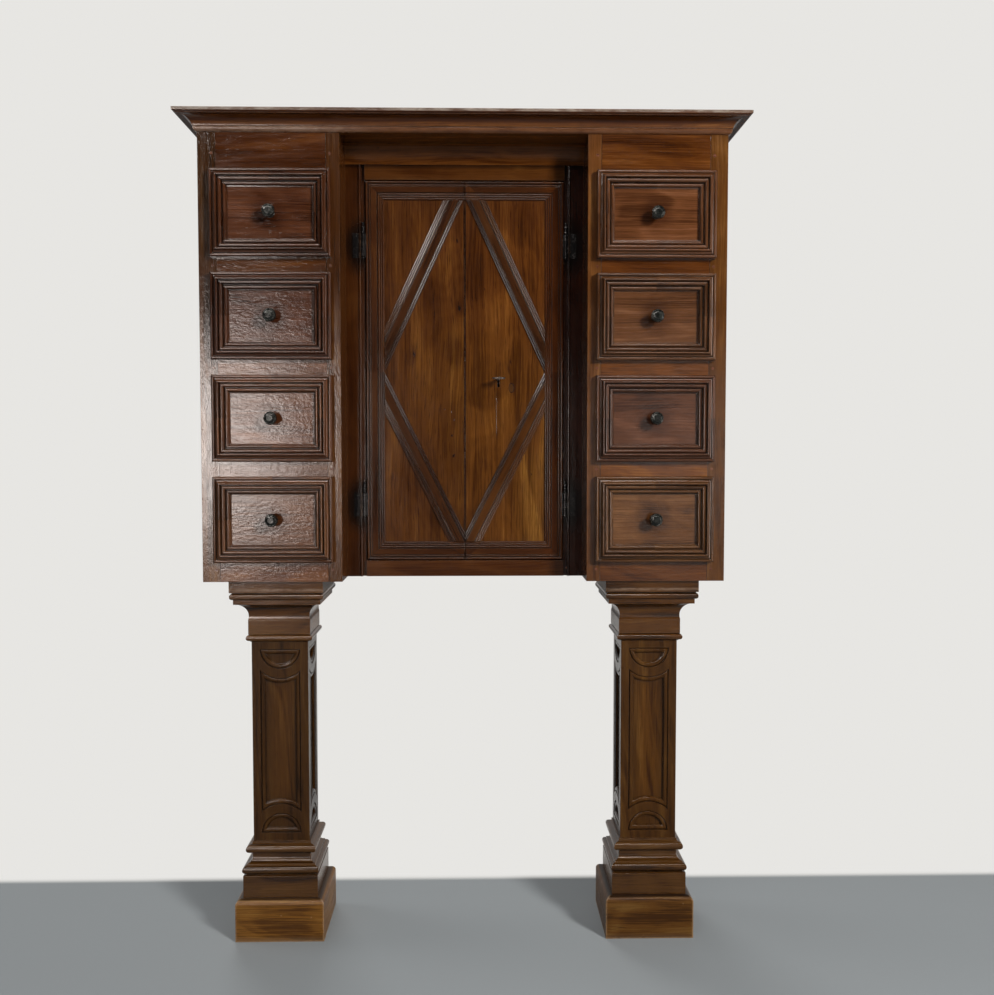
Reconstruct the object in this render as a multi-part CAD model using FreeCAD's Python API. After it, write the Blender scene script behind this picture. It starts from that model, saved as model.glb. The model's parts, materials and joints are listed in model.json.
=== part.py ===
import FreeCAD, Part
import math
import os
from FreeCAD import Vector

os.makedirs("parts", exist_ok=True)

# Coin cabinet on two pillars: two towers of drawers beside a recessed cupboard.
# Millimetres, +Z up, front towards -Y, origin at the bottom centre of the whole.

# Main sizes of the case
tower_width = 350.0
tower_height = 1117.0
centre_width = 618.0
case_depth = 310.0
recess_depth = 112.0
side_board = 18.0
back_board = 12.0
bottom_board = 18.0
carcass_top_board = 24.0
cornice_board = 22.0
overrun = 5.0
match = 0.01

# Cornice
cornice_projection = 49.0
cornice_shares = [(0, 0), (0.05, 0, -0.20), (0.16, 0.29), (0.20, 0.29, 0.20), (0.82, 0.75),
                  (0.86, 0.75), (0.88, 0.80, -0.20), (1, 0.86), (1, 1), (0, 1)]

# Pillars, all square on plan; each stands under the middle of its drawers
pillar_setback = 130.5
plinth_projection = 15.4
plinth_height = 110.0
plinth_round_height = 15.0
plinth_round_share = 0.20
base_projection = 26.0
base_height = 141.5
base_shares = [(0.978, 0), (0.978, 0.395), (0.90, 0.41), (0.91, 0.425, -0.42), (0.91, 0.575),
               (0.89, 0.60, 0.20), (0.762, 0.73), (0.762, 0.77), (0.815, 0.79, -0.45),
               (0.815, 0.945), (0.77, 0.96), (0.77, 1)]
shaft_half = 72.6
shaft_height = 523.0
motif_side_margin = 20.6
motif_margin = 20.0
lunette_to_panel = 23.5
field_depth = 8.0
quirk_width = 2.0
quirk_depth = 4.2
bead_width = 11.0
bead_drop = 1.0
bead_outer_round = 2.6
bead_inner_round = 5.8
capital_projection = 46.9
capital_height = 132.5
capital_shares = [(0.62, 0), (0.648, 0.02, -0.5), (0.648, 0.135), (0.666, 0.15), (0.666, 0.43, 0.22),
                  (0.88, 0.765), (0.925, 0.765), (0.925, 0.855), (0.93, 0.86, -0.5), (0.93, 0.98),
                  (0.95, 0.985), (0.95, 1)]
abacus_inset = 0.5
abacus_height = 30.0

# Front frames of the towers
frame_thickness = 22.0
inner_stile_width = 34.0
outer_stile_width = 44.0
drawer_rows = 4
bottom_rail_height = 61.5
drawer_rail_height = 60.3
frieze_rail_height = 102.6
tenon_length = 22.0
tenon_thickness = 8.0
tenon_shoulder = 9.0
joint_clearance = 0.2
peg_radius = 3.4
peg_inset = 10.0
peg_proud = 0.4

# Drawers
drawer_lip_side = 13.0
drawer_lip_height = 11.5
drawer_lip_thickness = 8.0
drawer_tongue = 12.0
drawer_moulding_width = 44.5
drawer_moulding_height = 24.0
drawer_moulding_shares = [(0, 0), (0, 0.42, 0.28), (0.17, 0.50), (0.18, 0.40), (0.205, 0.40), (0.21, 0.58),
                          (0.23, 0.60, -0.16), (0.34, 0.84), (0.345, 0.90, 0.40), (0.455, 0.90),
                          (0.46, 0.54), (0.495, 0.54), (0.50, 0.66, 0.34), (0.70, 0.60), (0.705, 0.28),
                          (0.75, 0.28), (0.755, 0.38, 0.36), (0.935, 0.32), (0.945, 0.12), (1, 0.10), (1, 0)]
drawer_side_clearance = 1.5
drawer_top_clearance = 4.0
drawer_seat_gap = 0.3
drawer_board = 10.0
drawer_bottom = 8.0
drawer_back_gap = 20.0
dust_board = 14.0
guide_height = 25.0
guide_gap = 1.0
knob_radius = 15.8
knob_length = 38.0
knob_shares = [(0, 0), (0.72, 0), (0.72, 0.06), (0.55, 0.12, 0.10), (0.32, 0.24, 0.16), (0.40, 0.58),
               (0.90, 0.68, -0.30), (1, 0.80), (0.98, 0.88, -0.20), (0.86, 0.945), (0.80, 0.93),
               (0.74, 0.955, -0.10), (0.30, 1), (0, 1)]
knob_shank_radius = 3.0
knob_nut_radius = 8.0
knob_nut_thickness = 4.0
fit_clearance = 0.05

# Front frame of the cupboard
centre_frame_thickness = 24.0
stile_flat_width = 33.0
stile_bead_width = 7.5
stile_rebate_width = 9.0
stile_bead_share = 0.45
hinge_rebate_depth = 8.0
sill_rail_height = 41.0
header_height = 86.0
header_moulding_height = 48.0
header_moulding_projection = 22.0
header_shares = [(0, 0), (0.12, 0), (0.12, 0.04, 0.11), (0.90, 0.88), (1, 0.88), (1, 1), (0, 1)]

# Doors
door_gap = 2.3
hinge_side_gap = 2.2
meeting_gap = 1.6
door_board = 14.0
door_border_width = 48.0
door_border_height = 11.0
door_border_shares = [(0, 0), (0, 0.62, 0.42), (0.125, 0.62), (0.13, 0.40), (0.17, 0.40), (0.175, 0.62, 0.40),
                      (0.265, 0.62), (0.27, 0.54), (0.29, 0.54), (0.295, 0.76), (0.60, 0.76), (0.605, 0.46),
                      (0.645, 0.46), (0.65, 0.62, 0.42), (0.76, 0.56), (0.765, 0.44, 0.42), (0.875, 0.38),
                      (0.88, 0.28, 0.42), (0.985, 0.20), (1, 0.12), (1, 0)]
lozenge_top_margin = 39.7
lozenge_bottom_margin = 68.7
lozenge_band = 48.0
lozenge_height = 9.5
lozenge_shares = [(0, 0), (0, 0.18, 0.42), (0.10, 0.26), (0.105, 0.38, 0.42), (0.205, 0.46), (0.21, 0.36),
                  (0.235, 0.36), (0.24, 0.76), (0.63, 0.76), (0.635, 0.42), (0.665, 0.42), (0.67, 0.62, 0.42),
                  (0.775, 0.56), (0.78, 0.42, 0.42), (0.885, 0.36), (0.89, 0.24, 0.42), (0.99, 0.16),
                  (1, 0.10), (1, 0)]
stop_width = 12.0
stop_lap = 12.0
stop_gap = 0.3

# Shelves
shelf_count = 3
shelf_board = 16.0
shelf_gap = 3.0
cleat_width = 14.0
cleat_height = 20.0

# Hinges
hinge_axis_outset = 5.9
hinge_axis_lift = 2.0
barrel_radius = 4.2
barrel_height = 54.0
knuckle_gap = 0.3
pin_radius = 2.2
pin_clearance = 0.06
finial_height = 34.0
finial_foot = 7.0
finial_shares = [(0, 0), (0.95, 0), (0.95, 0.05), (0.70, 0.09, -0.30), (0.70, 0.30), (0.95, 0.36),
                 (0.95, 0.42), (0.70, 0.48, -0.25), (0.70, 0.72), (0.55, 0.76), (0.80, 0.84, -0.30),
                 (0.40, 0.98), (0, 1)]
foot_shares = [(0.55, 0), (0.80, 0.333, -0.30), (0.40, 0.917), (0, 1), (0, 0)]
leaf_height = 61.0
leaf_width = 26.5
leaf_thickness = 2.0
leaf_back_margin = 2.0
leaf_fit = 0.1
upper_hinge_drop = 167.0
lower_hinge_rise = 146.0
nail_radius = 1.4
nail_head_radius = 2.8
nail_head_height = 0.8
nail_head_shares = [(0, 0), (1, 0), (0.6, 1), (0, 1)]
nail_length = 16.0
nail_inset = 7.0

# Lock, key and bolt
key_from_meeting = 88.0
key_height_share = 0.482
key_shank_radius = 3.6
key_shank_reach = 30.0
key_bow_width = 33.0
key_bow_length = 22.0
key_bow_thickness = 3.5
key_bow_bar = 4.0
bow_share = 0.2
key_bit_clearance = 1.0
key_bit_length = 8.0
key_bit_thickness = 3.5
keyhole_slot_width = 5.5
keyhole_slot_depth = 21.0
lock_end_room = 3.8
lock_height = 74.0
lock_depth = 16.0
lock_wall = 2.0
lock_from_edge = 3.0
lock_drop_share = 0.60
bolt_height = 11.0
bolt_thickness = 5.0
bolt_clearance = 0.25
bolt_tooth_height = 8.0
bolt_tooth_width = 8.0
bolt_notch_width = 20.0
key_to_bolt = 16.0
keeper_width = 30.0
keeper_margin = 9.0
keeper_slack = 1.5
post_width = 6.0
bridge_from_edge = 40.0
ledge_from_key = 9.8

# Places worked out from the sizes above
base_half = shaft_half + base_projection
plinth_half = base_half + plinth_projection
motif_half = shaft_half - motif_side_margin
capital_half = shaft_half + capital_projection
abacus_half = capital_half - abacus_inset
front_y = (cornice_projection - case_depth) / 2
back_y = front_y + case_depth
recess_y = front_y + recess_depth
pillar_y = front_y + pillar_setback
base_z = plinth_height
shaft_z = base_z + base_height
capital_z = shaft_z + shaft_height
abacus_z = capital_z + capital_height
case_z = abacus_z + abacus_height
case_top_z = case_z + tower_height
tower_in = centre_width / 2
tower_out = tower_in + tower_width
frame_back_y = front_y + frame_thickness
opening_in = tower_in + inner_stile_width
opening_out = tower_out - outer_stile_width
drawer_opening_width = opening_out - opening_in
drawer_line = (opening_in + opening_out) / 2
inside_in = tower_in + side_board
inside_out = tower_out - side_board
inside_back_y = back_y - back_board
first_opening_z = case_z + bottom_rail_height
all_openings = tower_height - bottom_rail_height - frieze_rail_height - drawer_rail_height * (drawer_rows - 1)
drawer_opening_height = all_openings / drawer_rows
drawer_pitch = drawer_opening_height + drawer_rail_height
drawer_length = case_depth - back_board - drawer_tongue - drawer_back_gap
centre_back_y = recess_y + centre_frame_thickness
sill_z = case_z + sill_rail_height
header_z = case_top_z - header_height
centre_stile_width = stile_flat_width + stile_bead_width + stile_rebate_width
door_edge_x = tower_in - centre_stile_width - hinge_side_gap
door_meet_x = meeting_gap / 2
door_z = sill_z + door_gap
door_top_z = header_z - door_gap
door_back_y = centre_back_y
door_board_y = door_back_y - door_board
door_field_x = door_edge_x - door_border_width
hinge_x = door_edge_x + hinge_axis_outset
hinge_y = recess_y - hinge_axis_lift
hinge_heights = [door_top_z - upper_hinge_drop, door_z + lower_hinge_rise]
door_leaf_depth = centre_frame_thickness + hinge_axis_lift - leaf_back_margin
key_z = door_z + (door_top_z - door_z) * key_height_share
bolt_z = key_z - key_to_bolt - bolt_height
bolt_y = door_back_y + (lock_depth - bolt_thickness) / 2
lock_x = door_meet_x + lock_from_edge
bolt_end_x = key_from_meeting + bolt_notch_width + bolt_tooth_width
lock_width = bolt_end_x + lock_end_room - lock_x
bolt_length = bolt_end_x - lock_x - bolt_clearance
key_bit_reach = key_to_bolt - key_bit_clearance
full_turn = 360


def block(x0, x1, y0, y1, z0, z1):
    """Box between two corners."""
    return Part.makeBox(x1 - x0, y1 - y0, z1 - z0, Vector(x0, y0, z0))


def ring(points, place):
    """Closed wire; a third value bows the side after a point by that share of its length."""
    edges = []
    for index, start in enumerate(points):
        end = points[(index + 1) % len(points)]
        first = place(start[0], start[1])
        last = place(end[0], end[1])
        if len(start) == 3:
            across = (start[0] + end[0]) / 2 - start[2] * (end[1] - start[1])
            along = (start[1] + end[1]) / 2 + start[2] * (end[0] - start[0])
            edges.append(Part.Arc(first, place(across, along), last).toShape())
        else:
            edges.append(Part.makeLine(first, last))
    return Part.Wire(edges)


def scaled(shares, width, height):
    """Outline points in millimetres from shares of a width and a height."""
    return [(point[0] * width, point[1] * height) + tuple(point[2:]) for point in shares]


def bar(points, place, travel):
    """Prism of an outline moved along a vector."""
    return Part.Face(ring(points, place)).extrude(travel)


def turned(points, base, side, along):
    """Round piece: an outline of radius and height swept about its axis."""
    face = Part.Face(ring(points, lambda radius, height: base + side * radius + along * height))
    return face.revolve(base, along, full_turn)


def rod(radius, base, along, length):
    """Plain round bar."""
    return Part.makeCylinder(radius, length, base, along)


def mirrored(shape):
    """The same shape on the left of the cabinet."""
    return shape.mirror(Vector(0, 0, 0), Vector(1, 0, 0))


def both_sides(shapes):
    """Right-hand shapes followed by their left-hand twins."""
    return list(shapes) + [mirrored(shape) for shape in shapes]


def save(name, shapes):
    """Write one node, a single solid or a group of separate solids."""
    shapes = list(shapes)
    solids = [solid for shape in shapes for solid in shape.Solids]
    whole = solids[0] if len(solids) == 1 else Part.makeCompound(solids)
    whole.exportStep("parts/" + name + ".step")


def save_pair(name, shapes):
    """Write the right-hand node and its mirrored left-hand one."""
    save("right_" + name, shapes)
    save("left_" + name, [mirrored(shape) for shape in shapes])


def mitred_border(width, height, points, moulding_width, face_y, sides):
    """Moulding sticks round a rectangle centred on the Y axis, mitred at the corners.

    Sides are counted by quarter turns from the bottom one; points run inwards and forwards.
    """
    sticks = []
    for side in sides:
        length, across = (width, height) if side % 2 == 0 else (height, width)
        low = -across / 2
        stick = bar(points, lambda inward, proud: Vector(-length / 2, face_y - proud, low + inward),
                    Vector(length, 0, 0))
        mitre = [(-length / 2, low), (length / 2, low),
                 (length / 2 - moulding_width, low + moulding_width),
                 (moulding_width - length / 2, low + moulding_width)]
        reach = max(point[1] for point in points) + overrun
        wedge = bar(mitre, lambda x, z: Vector(x, face_y - reach, z), Vector(0, reach + overrun, 0))
        stick = stick.common(wedge)
        stick.rotate(Vector(0, 0, 0), Vector(0, 1, 0), -full_turn / 4 * side)
        sticks.append(stick)
    return sticks


def square_moulding(points, x, y, z):
    """Block whose outline of half width and height runs round all four sides."""
    outline = [(-point[0], point[1]) for point in reversed(points)]
    bows = [point[2] if len(point) == 3 else None for point in points]
    mirror_bows = list(reversed(bows[:-1])) + [None]
    left = [place + ((bow,) if bow is not None else ()) for place, bow in zip(outline, mirror_bows)]
    whole = list(points) + left
    reach = max(point[0] for point in points) + overrun
    along_x = bar(whole, lambda half, up: Vector(x - reach, y + half, z + up), Vector(2 * reach, 0, 0))
    along_y = bar(whole, lambda half, up: Vector(x + half, y - reach, z + up), Vector(0, 2 * reach, 0))
    return along_x.common(along_y)


# Pillars
def plinth():
    rounded = [(plinth_half, 0), (plinth_half, plinth_height - plinth_round_height, -plinth_round_share),
               (base_half, plinth_height)]
    return square_moulding(rounded, drawer_line, pillar_y, 0)


def base_moulding():
    return square_moulding(scaled(base_shares, base_half, base_height), drawer_line, pillar_y, base_z)


def lunette(inset, flat, sense):
    """Half-round outline, inset all round, hanging from its flat side (-1) or standing on it (1)."""
    radius = motif_half - inset
    half = math.sqrt(radius ** 2 - inset ** 2)
    chord = flat + sense * inset
    return [(-half, chord, sense * (radius - inset) / (2 * half)), (half, chord)]


def hollow_panel(inset, low_flat, high_flat):
    """Upright outline, inset all round, whose ends run at an even distance round the two lunettes."""
    half = motif_half - inset
    radius = motif_half + lunette_to_panel + inset
    corner = math.sqrt(radius ** 2 - half ** 2)
    bow = (radius - corner) / (2 * half)
    low = low_flat + corner
    high = high_flat - corner
    return [(-half, low, bow), (half, low), (half, high, bow), (-half, high)]


def sunk(outline, shallow, deep):
    """Prism of an outline from one depth to another, measured into the front face of a pillar."""
    face = pillar_y - shaft_half
    return bar(outline, lambda x, z: Vector(drawer_line + x, face + shallow, z), Vector(0, deep - shallow, 0))


def front_edges(shape, depth, box):
    """Edges of a shape that lie at one depth and inside the box of an outline."""
    y = pillar_y - shaft_half + depth
    found = []
    for edge in shape.Edges:
        place = edge.BoundBox
        level = abs(place.YMin - y) < match and abs(place.YMax - y) < match
        if level and box.isInside(place):
            found.append(edge)
    return found


def motif_cutters(shape_of):
    """What is carved away for one motif: a quirk, and a field inside a rounded bead."""
    bead = sunk(shape_of(quirk_width), bead_drop, field_depth)
    everywhere = bead.BoundBox
    everywhere.enlarge(overrun)
    bead = bead.makeFillet(bead_outer_round, front_edges(bead, bead_drop, everywhere))
    hollow = sunk(shape_of(quirk_width + bead_width), bead_drop - overrun, field_depth)
    bead = bead.cut(hollow)
    rim = hollow.BoundBox
    rim.enlarge(match)
    bead = bead.makeFillet(bead_inner_round, front_edges(bead, bead_drop, rim))
    quirk = sunk(shape_of(0), -overrun, quirk_depth).cut(bead)
    field = sunk(shape_of(quirk_width + bead_width), -overrun, field_depth)
    return [quirk, field]


def shaft():
    """Square shaft; each face has a sunk panel between two lunettes, all with a beaded edge."""
    post = block(drawer_line - shaft_half, drawer_line + shaft_half,
                 pillar_y - shaft_half, pillar_y + shaft_half, shaft_z, capital_z)
    top_flat = capital_z - motif_margin
    low_flat = shaft_z + motif_margin
    cuts = motif_cutters(lambda inset: lunette(inset, top_flat, -1))
    cuts += motif_cutters(lambda inset: lunette(inset, low_flat, 1))
    cuts += motif_cutters(lambda inset: hollow_panel(inset, low_flat, top_flat))
    centre = Vector(drawer_line, pillar_y, 0)
    for quarter in range(4):
        turned_cuts = []
        for cut in cuts:
            copy = cut.copy()
            copy.rotate(centre, Vector(0, 0, 1), full_turn / 4 * quarter)
            turned_cuts.append(copy)
        post = post.cut(turned_cuts)
    return post


def capital():
    return square_moulding(scaled(capital_shares, capital_half, capital_height),
                           drawer_line, pillar_y, capital_z)


def abacus():
    return block(drawer_line - abacus_half, drawer_line + abacus_half, pillar_y - abacus_half,
                 pillar_y + abacus_half, abacus_z, case_z)


save_pair("plinth", [plinth()])
save_pair("base_moulding", [base_moulding()])
save_pair("pillar_shaft", [shaft()])
save_pair("capital", [capital(), abacus()])


# Front frames of the towers, with pegged tenons
def rail_levels():
    """Bottom and top of every rail, from the bottom rail to the frieze rail."""
    levels = [(case_z, first_opening_z)]
    for row in range(1, drawer_rows):
        low = first_opening_z + drawer_pitch * (row - 1) + drawer_opening_height
        levels.append((low, first_opening_z + drawer_pitch * row))
    frieze = first_opening_z + drawer_pitch * (drawer_rows - 1) + drawer_opening_height
    levels.append((frieze, case_top_z))
    return levels


def tenon(x0, x1, y, z0, z1, slack):
    return block(x0 - slack, x1 + slack, y - tenon_thickness / 2 - slack,
                 y + tenon_thickness / 2 + slack, z0 + tenon_shoulder - slack,
                 z1 - tenon_shoulder + slack)


def peg(x, face_y, z, slack):
    return rod(peg_radius + slack, Vector(x, face_y - peg_proud, z), Vector(0, 1, 0),
               frame_thickness - tenon_shoulder + peg_proud)


def tower_front():
    """Two stiles, five rails and their pegs."""
    stiles = [block(tower_in, opening_in, front_y, frame_back_y, case_z, case_top_z),
              block(opening_out, tower_out, front_y, frame_back_y, case_z, case_top_z)]
    middle_y = front_y + frame_thickness / 2
    rails = []
    pegs = []
    for low, high in rail_levels():
        rail = block(opening_in, opening_out, front_y, frame_back_y, low, high)
        for index, (joint, end) in enumerate([(opening_in, -tenon_length), (opening_out, tenon_length)]):
            x0, x1 = sorted([joint, joint + end])
            rail = rail.fuse(tenon(x0, x1, middle_y, low, high, 0))
            stiles[index] = stiles[index].cut(tenon(x0, x1, middle_y, low, high, joint_clearance))
            peg_x = joint + math.copysign(peg_inset, end)
            hole = peg(peg_x, front_y, (low + high) / 2, fit_clearance)
            stiles[index] = stiles[index].cut(hole)
            rail = rail.cut(hole)
            pegs.append(peg(peg_x, front_y, (low + high) / 2, 0))
        rails.append(rail.removeSplitter())
    return stiles + rails, pegs


tower_frame, tower_pegs = tower_front()
save_pair("tower_front_frame", tower_frame)


# Carcass of a tower: sides, back, bottom, and a dust board with guides under each drawer
def tower_case():
    sides = [block(tower_in, inside_in, frame_back_y, back_y, case_z, case_top_z),
             block(inside_out, tower_out, frame_back_y, back_y, case_z, case_top_z)]
    back = block(inside_in, inside_out, inside_back_y, back_y, case_z, case_top_z)
    bottom = block(inside_in, inside_out, frame_back_y, inside_back_y, case_z, case_z + bottom_board)
    return sides + [back, bottom]


def drawer_runners():
    box_in = opening_in + drawer_side_clearance - guide_gap
    box_out = opening_out - drawer_side_clearance + guide_gap
    pieces = []
    for row in range(drawer_rows):
        floor_z = first_opening_z + drawer_pitch * row
        pieces.append(block(inside_in, inside_out, frame_back_y, inside_back_y,
                            floor_z - dust_board, floor_z))
        for x0, x1 in [(inside_in, box_in), (box_out, inside_out)]:
            pieces.append(block(x0, x1, frame_back_y, inside_back_y, floor_z, floor_z + guide_height))
    return pieces


save_pair("tower_case", tower_case())
save_pair("drawer_runners", drawer_runners())


# Drawers
def drawer_front(floor_z):
    """Lipped front board with its applied mitred moulding; the knob shank passes through it."""
    width = drawer_opening_width + 2 * drawer_lip_side
    height = drawer_opening_height + 2 * drawer_lip_height
    middle_z = floor_z + drawer_opening_height / 2
    tongue_half = drawer_opening_width / 2 - drawer_side_clearance
    lip = block(drawer_line - width / 2, drawer_line + width / 2, front_y - drawer_lip_thickness,
                front_y - drawer_seat_gap, middle_z - height / 2, middle_z + height / 2)
    tongue = block(drawer_line - tongue_half, drawer_line + tongue_half, front_y - drawer_lip_thickness,
                   front_y + drawer_tongue, floor_z + drawer_seat_gap,
                   floor_z + drawer_opening_height - drawer_top_clearance)
    hole = rod(knob_shank_radius + fit_clearance,
               Vector(drawer_line, front_y - drawer_lip_thickness - overrun, middle_z),
               Vector(0, 1, 0), drawer_lip_thickness + drawer_tongue + overrun * 2)
    board = lip.fuse(tongue).removeSplitter().cut(hole)
    points = scaled(drawer_moulding_shares, drawer_moulding_width, drawer_moulding_height)
    sticks = mitred_border(width, height, points, drawer_moulding_width,
                           front_y - drawer_lip_thickness, range(4))
    for stick in sticks:
        stick.translate(Vector(drawer_line, 0, middle_z))
    return [board] + sticks


def drawer_box(floor_z):
    """Bottom, two sides and a back, behind the front board."""
    half = drawer_opening_width / 2 - drawer_side_clearance
    y0 = front_y + drawer_tongue
    y1 = y0 + drawer_length
    low = floor_z + drawer_seat_gap
    floor_top = low + drawer_bottom
    high = floor_z + drawer_opening_height - drawer_top_clearance
    left = drawer_line - half
    right = drawer_line + half
    return [block(left, right, y0, y1, low, floor_top),
            block(left, left + drawer_board, y0, y1, floor_top, high),
            block(right - drawer_board, right, y0, y1, floor_top, high),
            block(left + drawer_board, right - drawer_board, y1 - drawer_board, y1, floor_top, high)]


def drawer_knob(floor_z):
    """Turned knob with a shank through the front and a round nut behind it."""
    middle_z = floor_z + drawer_opening_height / 2
    seat = Vector(drawer_line, front_y - drawer_lip_thickness, middle_z)
    head = turned(scaled(knob_shares, knob_radius, knob_length), seat, Vector(1, 0, 0), Vector(0, -1, 0))
    shank_length = drawer_lip_thickness + drawer_tongue + knob_nut_thickness
    shank = rod(knob_shank_radius, seat, Vector(0, 1, 0), shank_length)
    nut_seat = Vector(drawer_line, front_y + drawer_tongue, middle_z)
    nut = rod(knob_nut_radius, nut_seat, Vector(0, 1, 0), knob_nut_thickness)
    nut = nut.cut(rod(knob_shank_radius + fit_clearance, nut_seat, Vector(0, 1, 0), knob_nut_thickness))
    return [head.fuse(shank), nut]


for row in range(drawer_rows):
    opening_z = first_opening_z + drawer_pitch * (drawer_rows - 1 - row)
    drawer_name = "drawer_" + str(row + 1)
    save_pair(drawer_name + "_front", drawer_front(opening_z))
    save_pair(drawer_name + "_box", drawer_box(opening_z))
    save_pair(drawer_name + "_knob", drawer_knob(opening_z))


# Hinges: loose pin through three knuckles, leaves let into the stile and the door edge
def frame_leaf_box(z, slack):
    return block(hinge_x, hinge_x + leaf_width + slack, recess_y - leaf_thickness - slack,
                 recess_y, z - leaf_height / 2 - slack, z + leaf_height / 2 + slack)


def door_leaf_box(z, slack):
    """Angle that runs from the barrel across the gap and back along the door edge."""
    across = block(door_edge_x - leaf_thickness - slack, hinge_x, hinge_y, hinge_y + leaf_thickness,
                   z - leaf_height / 2 - slack, z + leaf_height / 2 + slack)
    along = block(door_edge_x - leaf_thickness - slack, door_edge_x + slack, hinge_y,
                  hinge_y + door_leaf_depth + slack, z - leaf_height / 2 - slack,
                  z + leaf_height / 2 + slack)
    return across, along


def knuckle(z0, z1, slack):
    return rod(barrel_radius + slack, Vector(hinge_x, hinge_y, z0), Vector(0, 0, 1), z1 - z0)


def pin_hole(z):
    return rod(pin_radius + pin_clearance, Vector(hinge_x, hinge_y, z - barrel_height),
               Vector(0, 0, 1), 2 * barrel_height)


def frame_leaf(z):
    third = barrel_height / 3
    low = z - barrel_height / 2
    clear = knuckle(low + third - knuckle_gap, low + 2 * third + knuckle_gap, pin_clearance + knuckle_gap)
    plate = frame_leaf_box(z, 0).cut(clear)
    for z0, z1 in [(low - leaf_height, low), (low + barrel_height, z + leaf_height)]:
        plate = plate.cut(knuckle(z0, z1, knuckle_gap))
    for start in [low, low + 2 * third]:
        plate = plate.fuse(knuckle(start, start + third, 0))
    plate = plate.cut(pin_hole(z))
    for nail in nail_places(z):
        plate = plate.cut(rod(nail_radius + fit_clearance, nail, Vector(0, 1, 0), 2 * leaf_thickness))
    return plate


def door_leaf(z):
    third = barrel_height / 3
    low = z - barrel_height / 2
    across, along = door_leaf_box(z, 0)
    plate = across.fuse(along)
    for z0, z1 in [(low - leaf_height, low + third), (low + 2 * third, z + leaf_height)]:
        plate = plate.cut(knuckle(z0 - knuckle_gap, z1 + knuckle_gap, knuckle_gap + pin_clearance))
    plate = plate.fuse(knuckle(low + third + knuckle_gap, low + 2 * third - knuckle_gap, 0))
    return plate.cut(pin_hole(z)).removeSplitter()


def hinge_pin(z):
    """Pin with a turned finial on top and a small button below."""
    low = z - barrel_height / 2
    top = z + barrel_height / 2
    pin = rod(pin_radius, Vector(hinge_x, hinge_y, low), Vector(0, 0, 1), barrel_height)
    finial = turned(scaled(finial_shares, barrel_radius, finial_height),
                    Vector(hinge_x, hinge_y, top), Vector(1, 0, 0), Vector(0, 0, 1))
    foot = turned(scaled(foot_shares, barrel_radius, finial_foot), Vector(hinge_x, hinge_y, low),
                  Vector(1, 0, 0), Vector(0, 0, -1))
    return pin.fuse([finial, foot])


def nail_places(z):
    x = hinge_x + leaf_width - nail_inset
    y = recess_y - leaf_thickness
    return [Vector(x, y, z - leaf_height / 2 + nail_inset), Vector(x, y, z + leaf_height / 2 - nail_inset)]


def nail(place):
    head = turned(scaled(nail_head_shares, nail_head_radius, nail_head_height), place,
                  Vector(1, 0, 0), Vector(0, -1, 0))
    return rod(nail_radius, place, Vector(0, 1, 0), nail_length).fuse(head)


frame_leaves = [frame_leaf(z) for z in hinge_heights]
door_leaves = [door_leaf(z) for z in hinge_heights]
hinge_pins = [hinge_pin(z) for z in hinge_heights]
hinge_nails = [nail(place) for z in hinge_heights for place in nail_places(z)]
save("hinge_frame_leaves", both_sides(frame_leaves + hinge_pins))
save("hinge_nails", both_sides(hinge_nails))
save_pair("door_hinge_leaves", door_leaves)


# Front frame of the cupboard: beaded stiles, sill rail and header, pegged like the towers
def centre_stile():
    bead_x = tower_in - stile_flat_width
    rebate_x = bead_x - stile_bead_width
    inner_x = tower_in - centre_stile_width
    outline = [(inner_x, centre_back_y), (inner_x, recess_y + hinge_rebate_depth),
               (rebate_x, recess_y + hinge_rebate_depth), (rebate_x, recess_y, -stile_bead_share),
               (bead_x, recess_y), (tower_in, recess_y), (tower_in, centre_back_y)]
    stile = bar(outline, lambda x, y: Vector(x, y, case_z), Vector(0, 0, tower_height))
    behind_header = block(inner_x, tower_in, front_y, recess_y, case_top_z - header_moulding_height,
                          case_top_z)
    return stile.cut(behind_header)


def centre_frame():
    inner_x = tower_in - centre_stile_width
    middle_y = (recess_y + hinge_rebate_depth + centre_back_y) / 2
    stile = centre_stile()
    for z in hinge_heights:
        stile = stile.cut(frame_leaf_box(z, leaf_fit))
        for place in nail_places(z):
            stile = stile.cut(rod(nail_radius + fit_clearance, place, Vector(0, 1, 0),
                                  nail_length + fit_clearance))
    rails = []
    pegs = []
    for low, high in [(case_z, sill_z), (header_z, case_top_z)]:
        stile = stile.cut(tenon(inner_x, inner_x + tenon_length, middle_y, low, high, joint_clearance))
        rail = block(-inner_x, inner_x, recess_y, centre_back_y, low, high)
        rail = rail.fuse(tenon(-inner_x - tenon_length, inner_x + tenon_length, middle_y, low, high, 0))
        peg_x = inner_x + peg_inset
        hole = peg(peg_x, recess_y + hinge_rebate_depth, (low + high) / 2, fit_clearance)
        stile = stile.cut(hole)
        rail = rail.cut([hole, mirrored(hole)])
        rails.append(rail.removeSplitter())
        pegs.append(peg(peg_x, recess_y + hinge_rebate_depth, (low + high) / 2, 0))
    return both_sides([stile]) + rails, pegs


def header_moulding():
    """Cove and ovolo under the soffit, between the two towers."""
    points = scaled(header_shares, header_moulding_projection, header_moulding_height)
    low = case_top_z - header_moulding_height
    return bar(points, lambda proud, up: Vector(-tower_in, recess_y - proud, low + up),
               Vector(2 * tower_in, 0, 0))


frame_pieces, centre_pegs = centre_frame()
save("centre_front_frame", frame_pieces)
save("header_moulding", [header_moulding()])
save("frame_pegs", both_sides(tower_pegs + centre_pegs))


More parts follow.
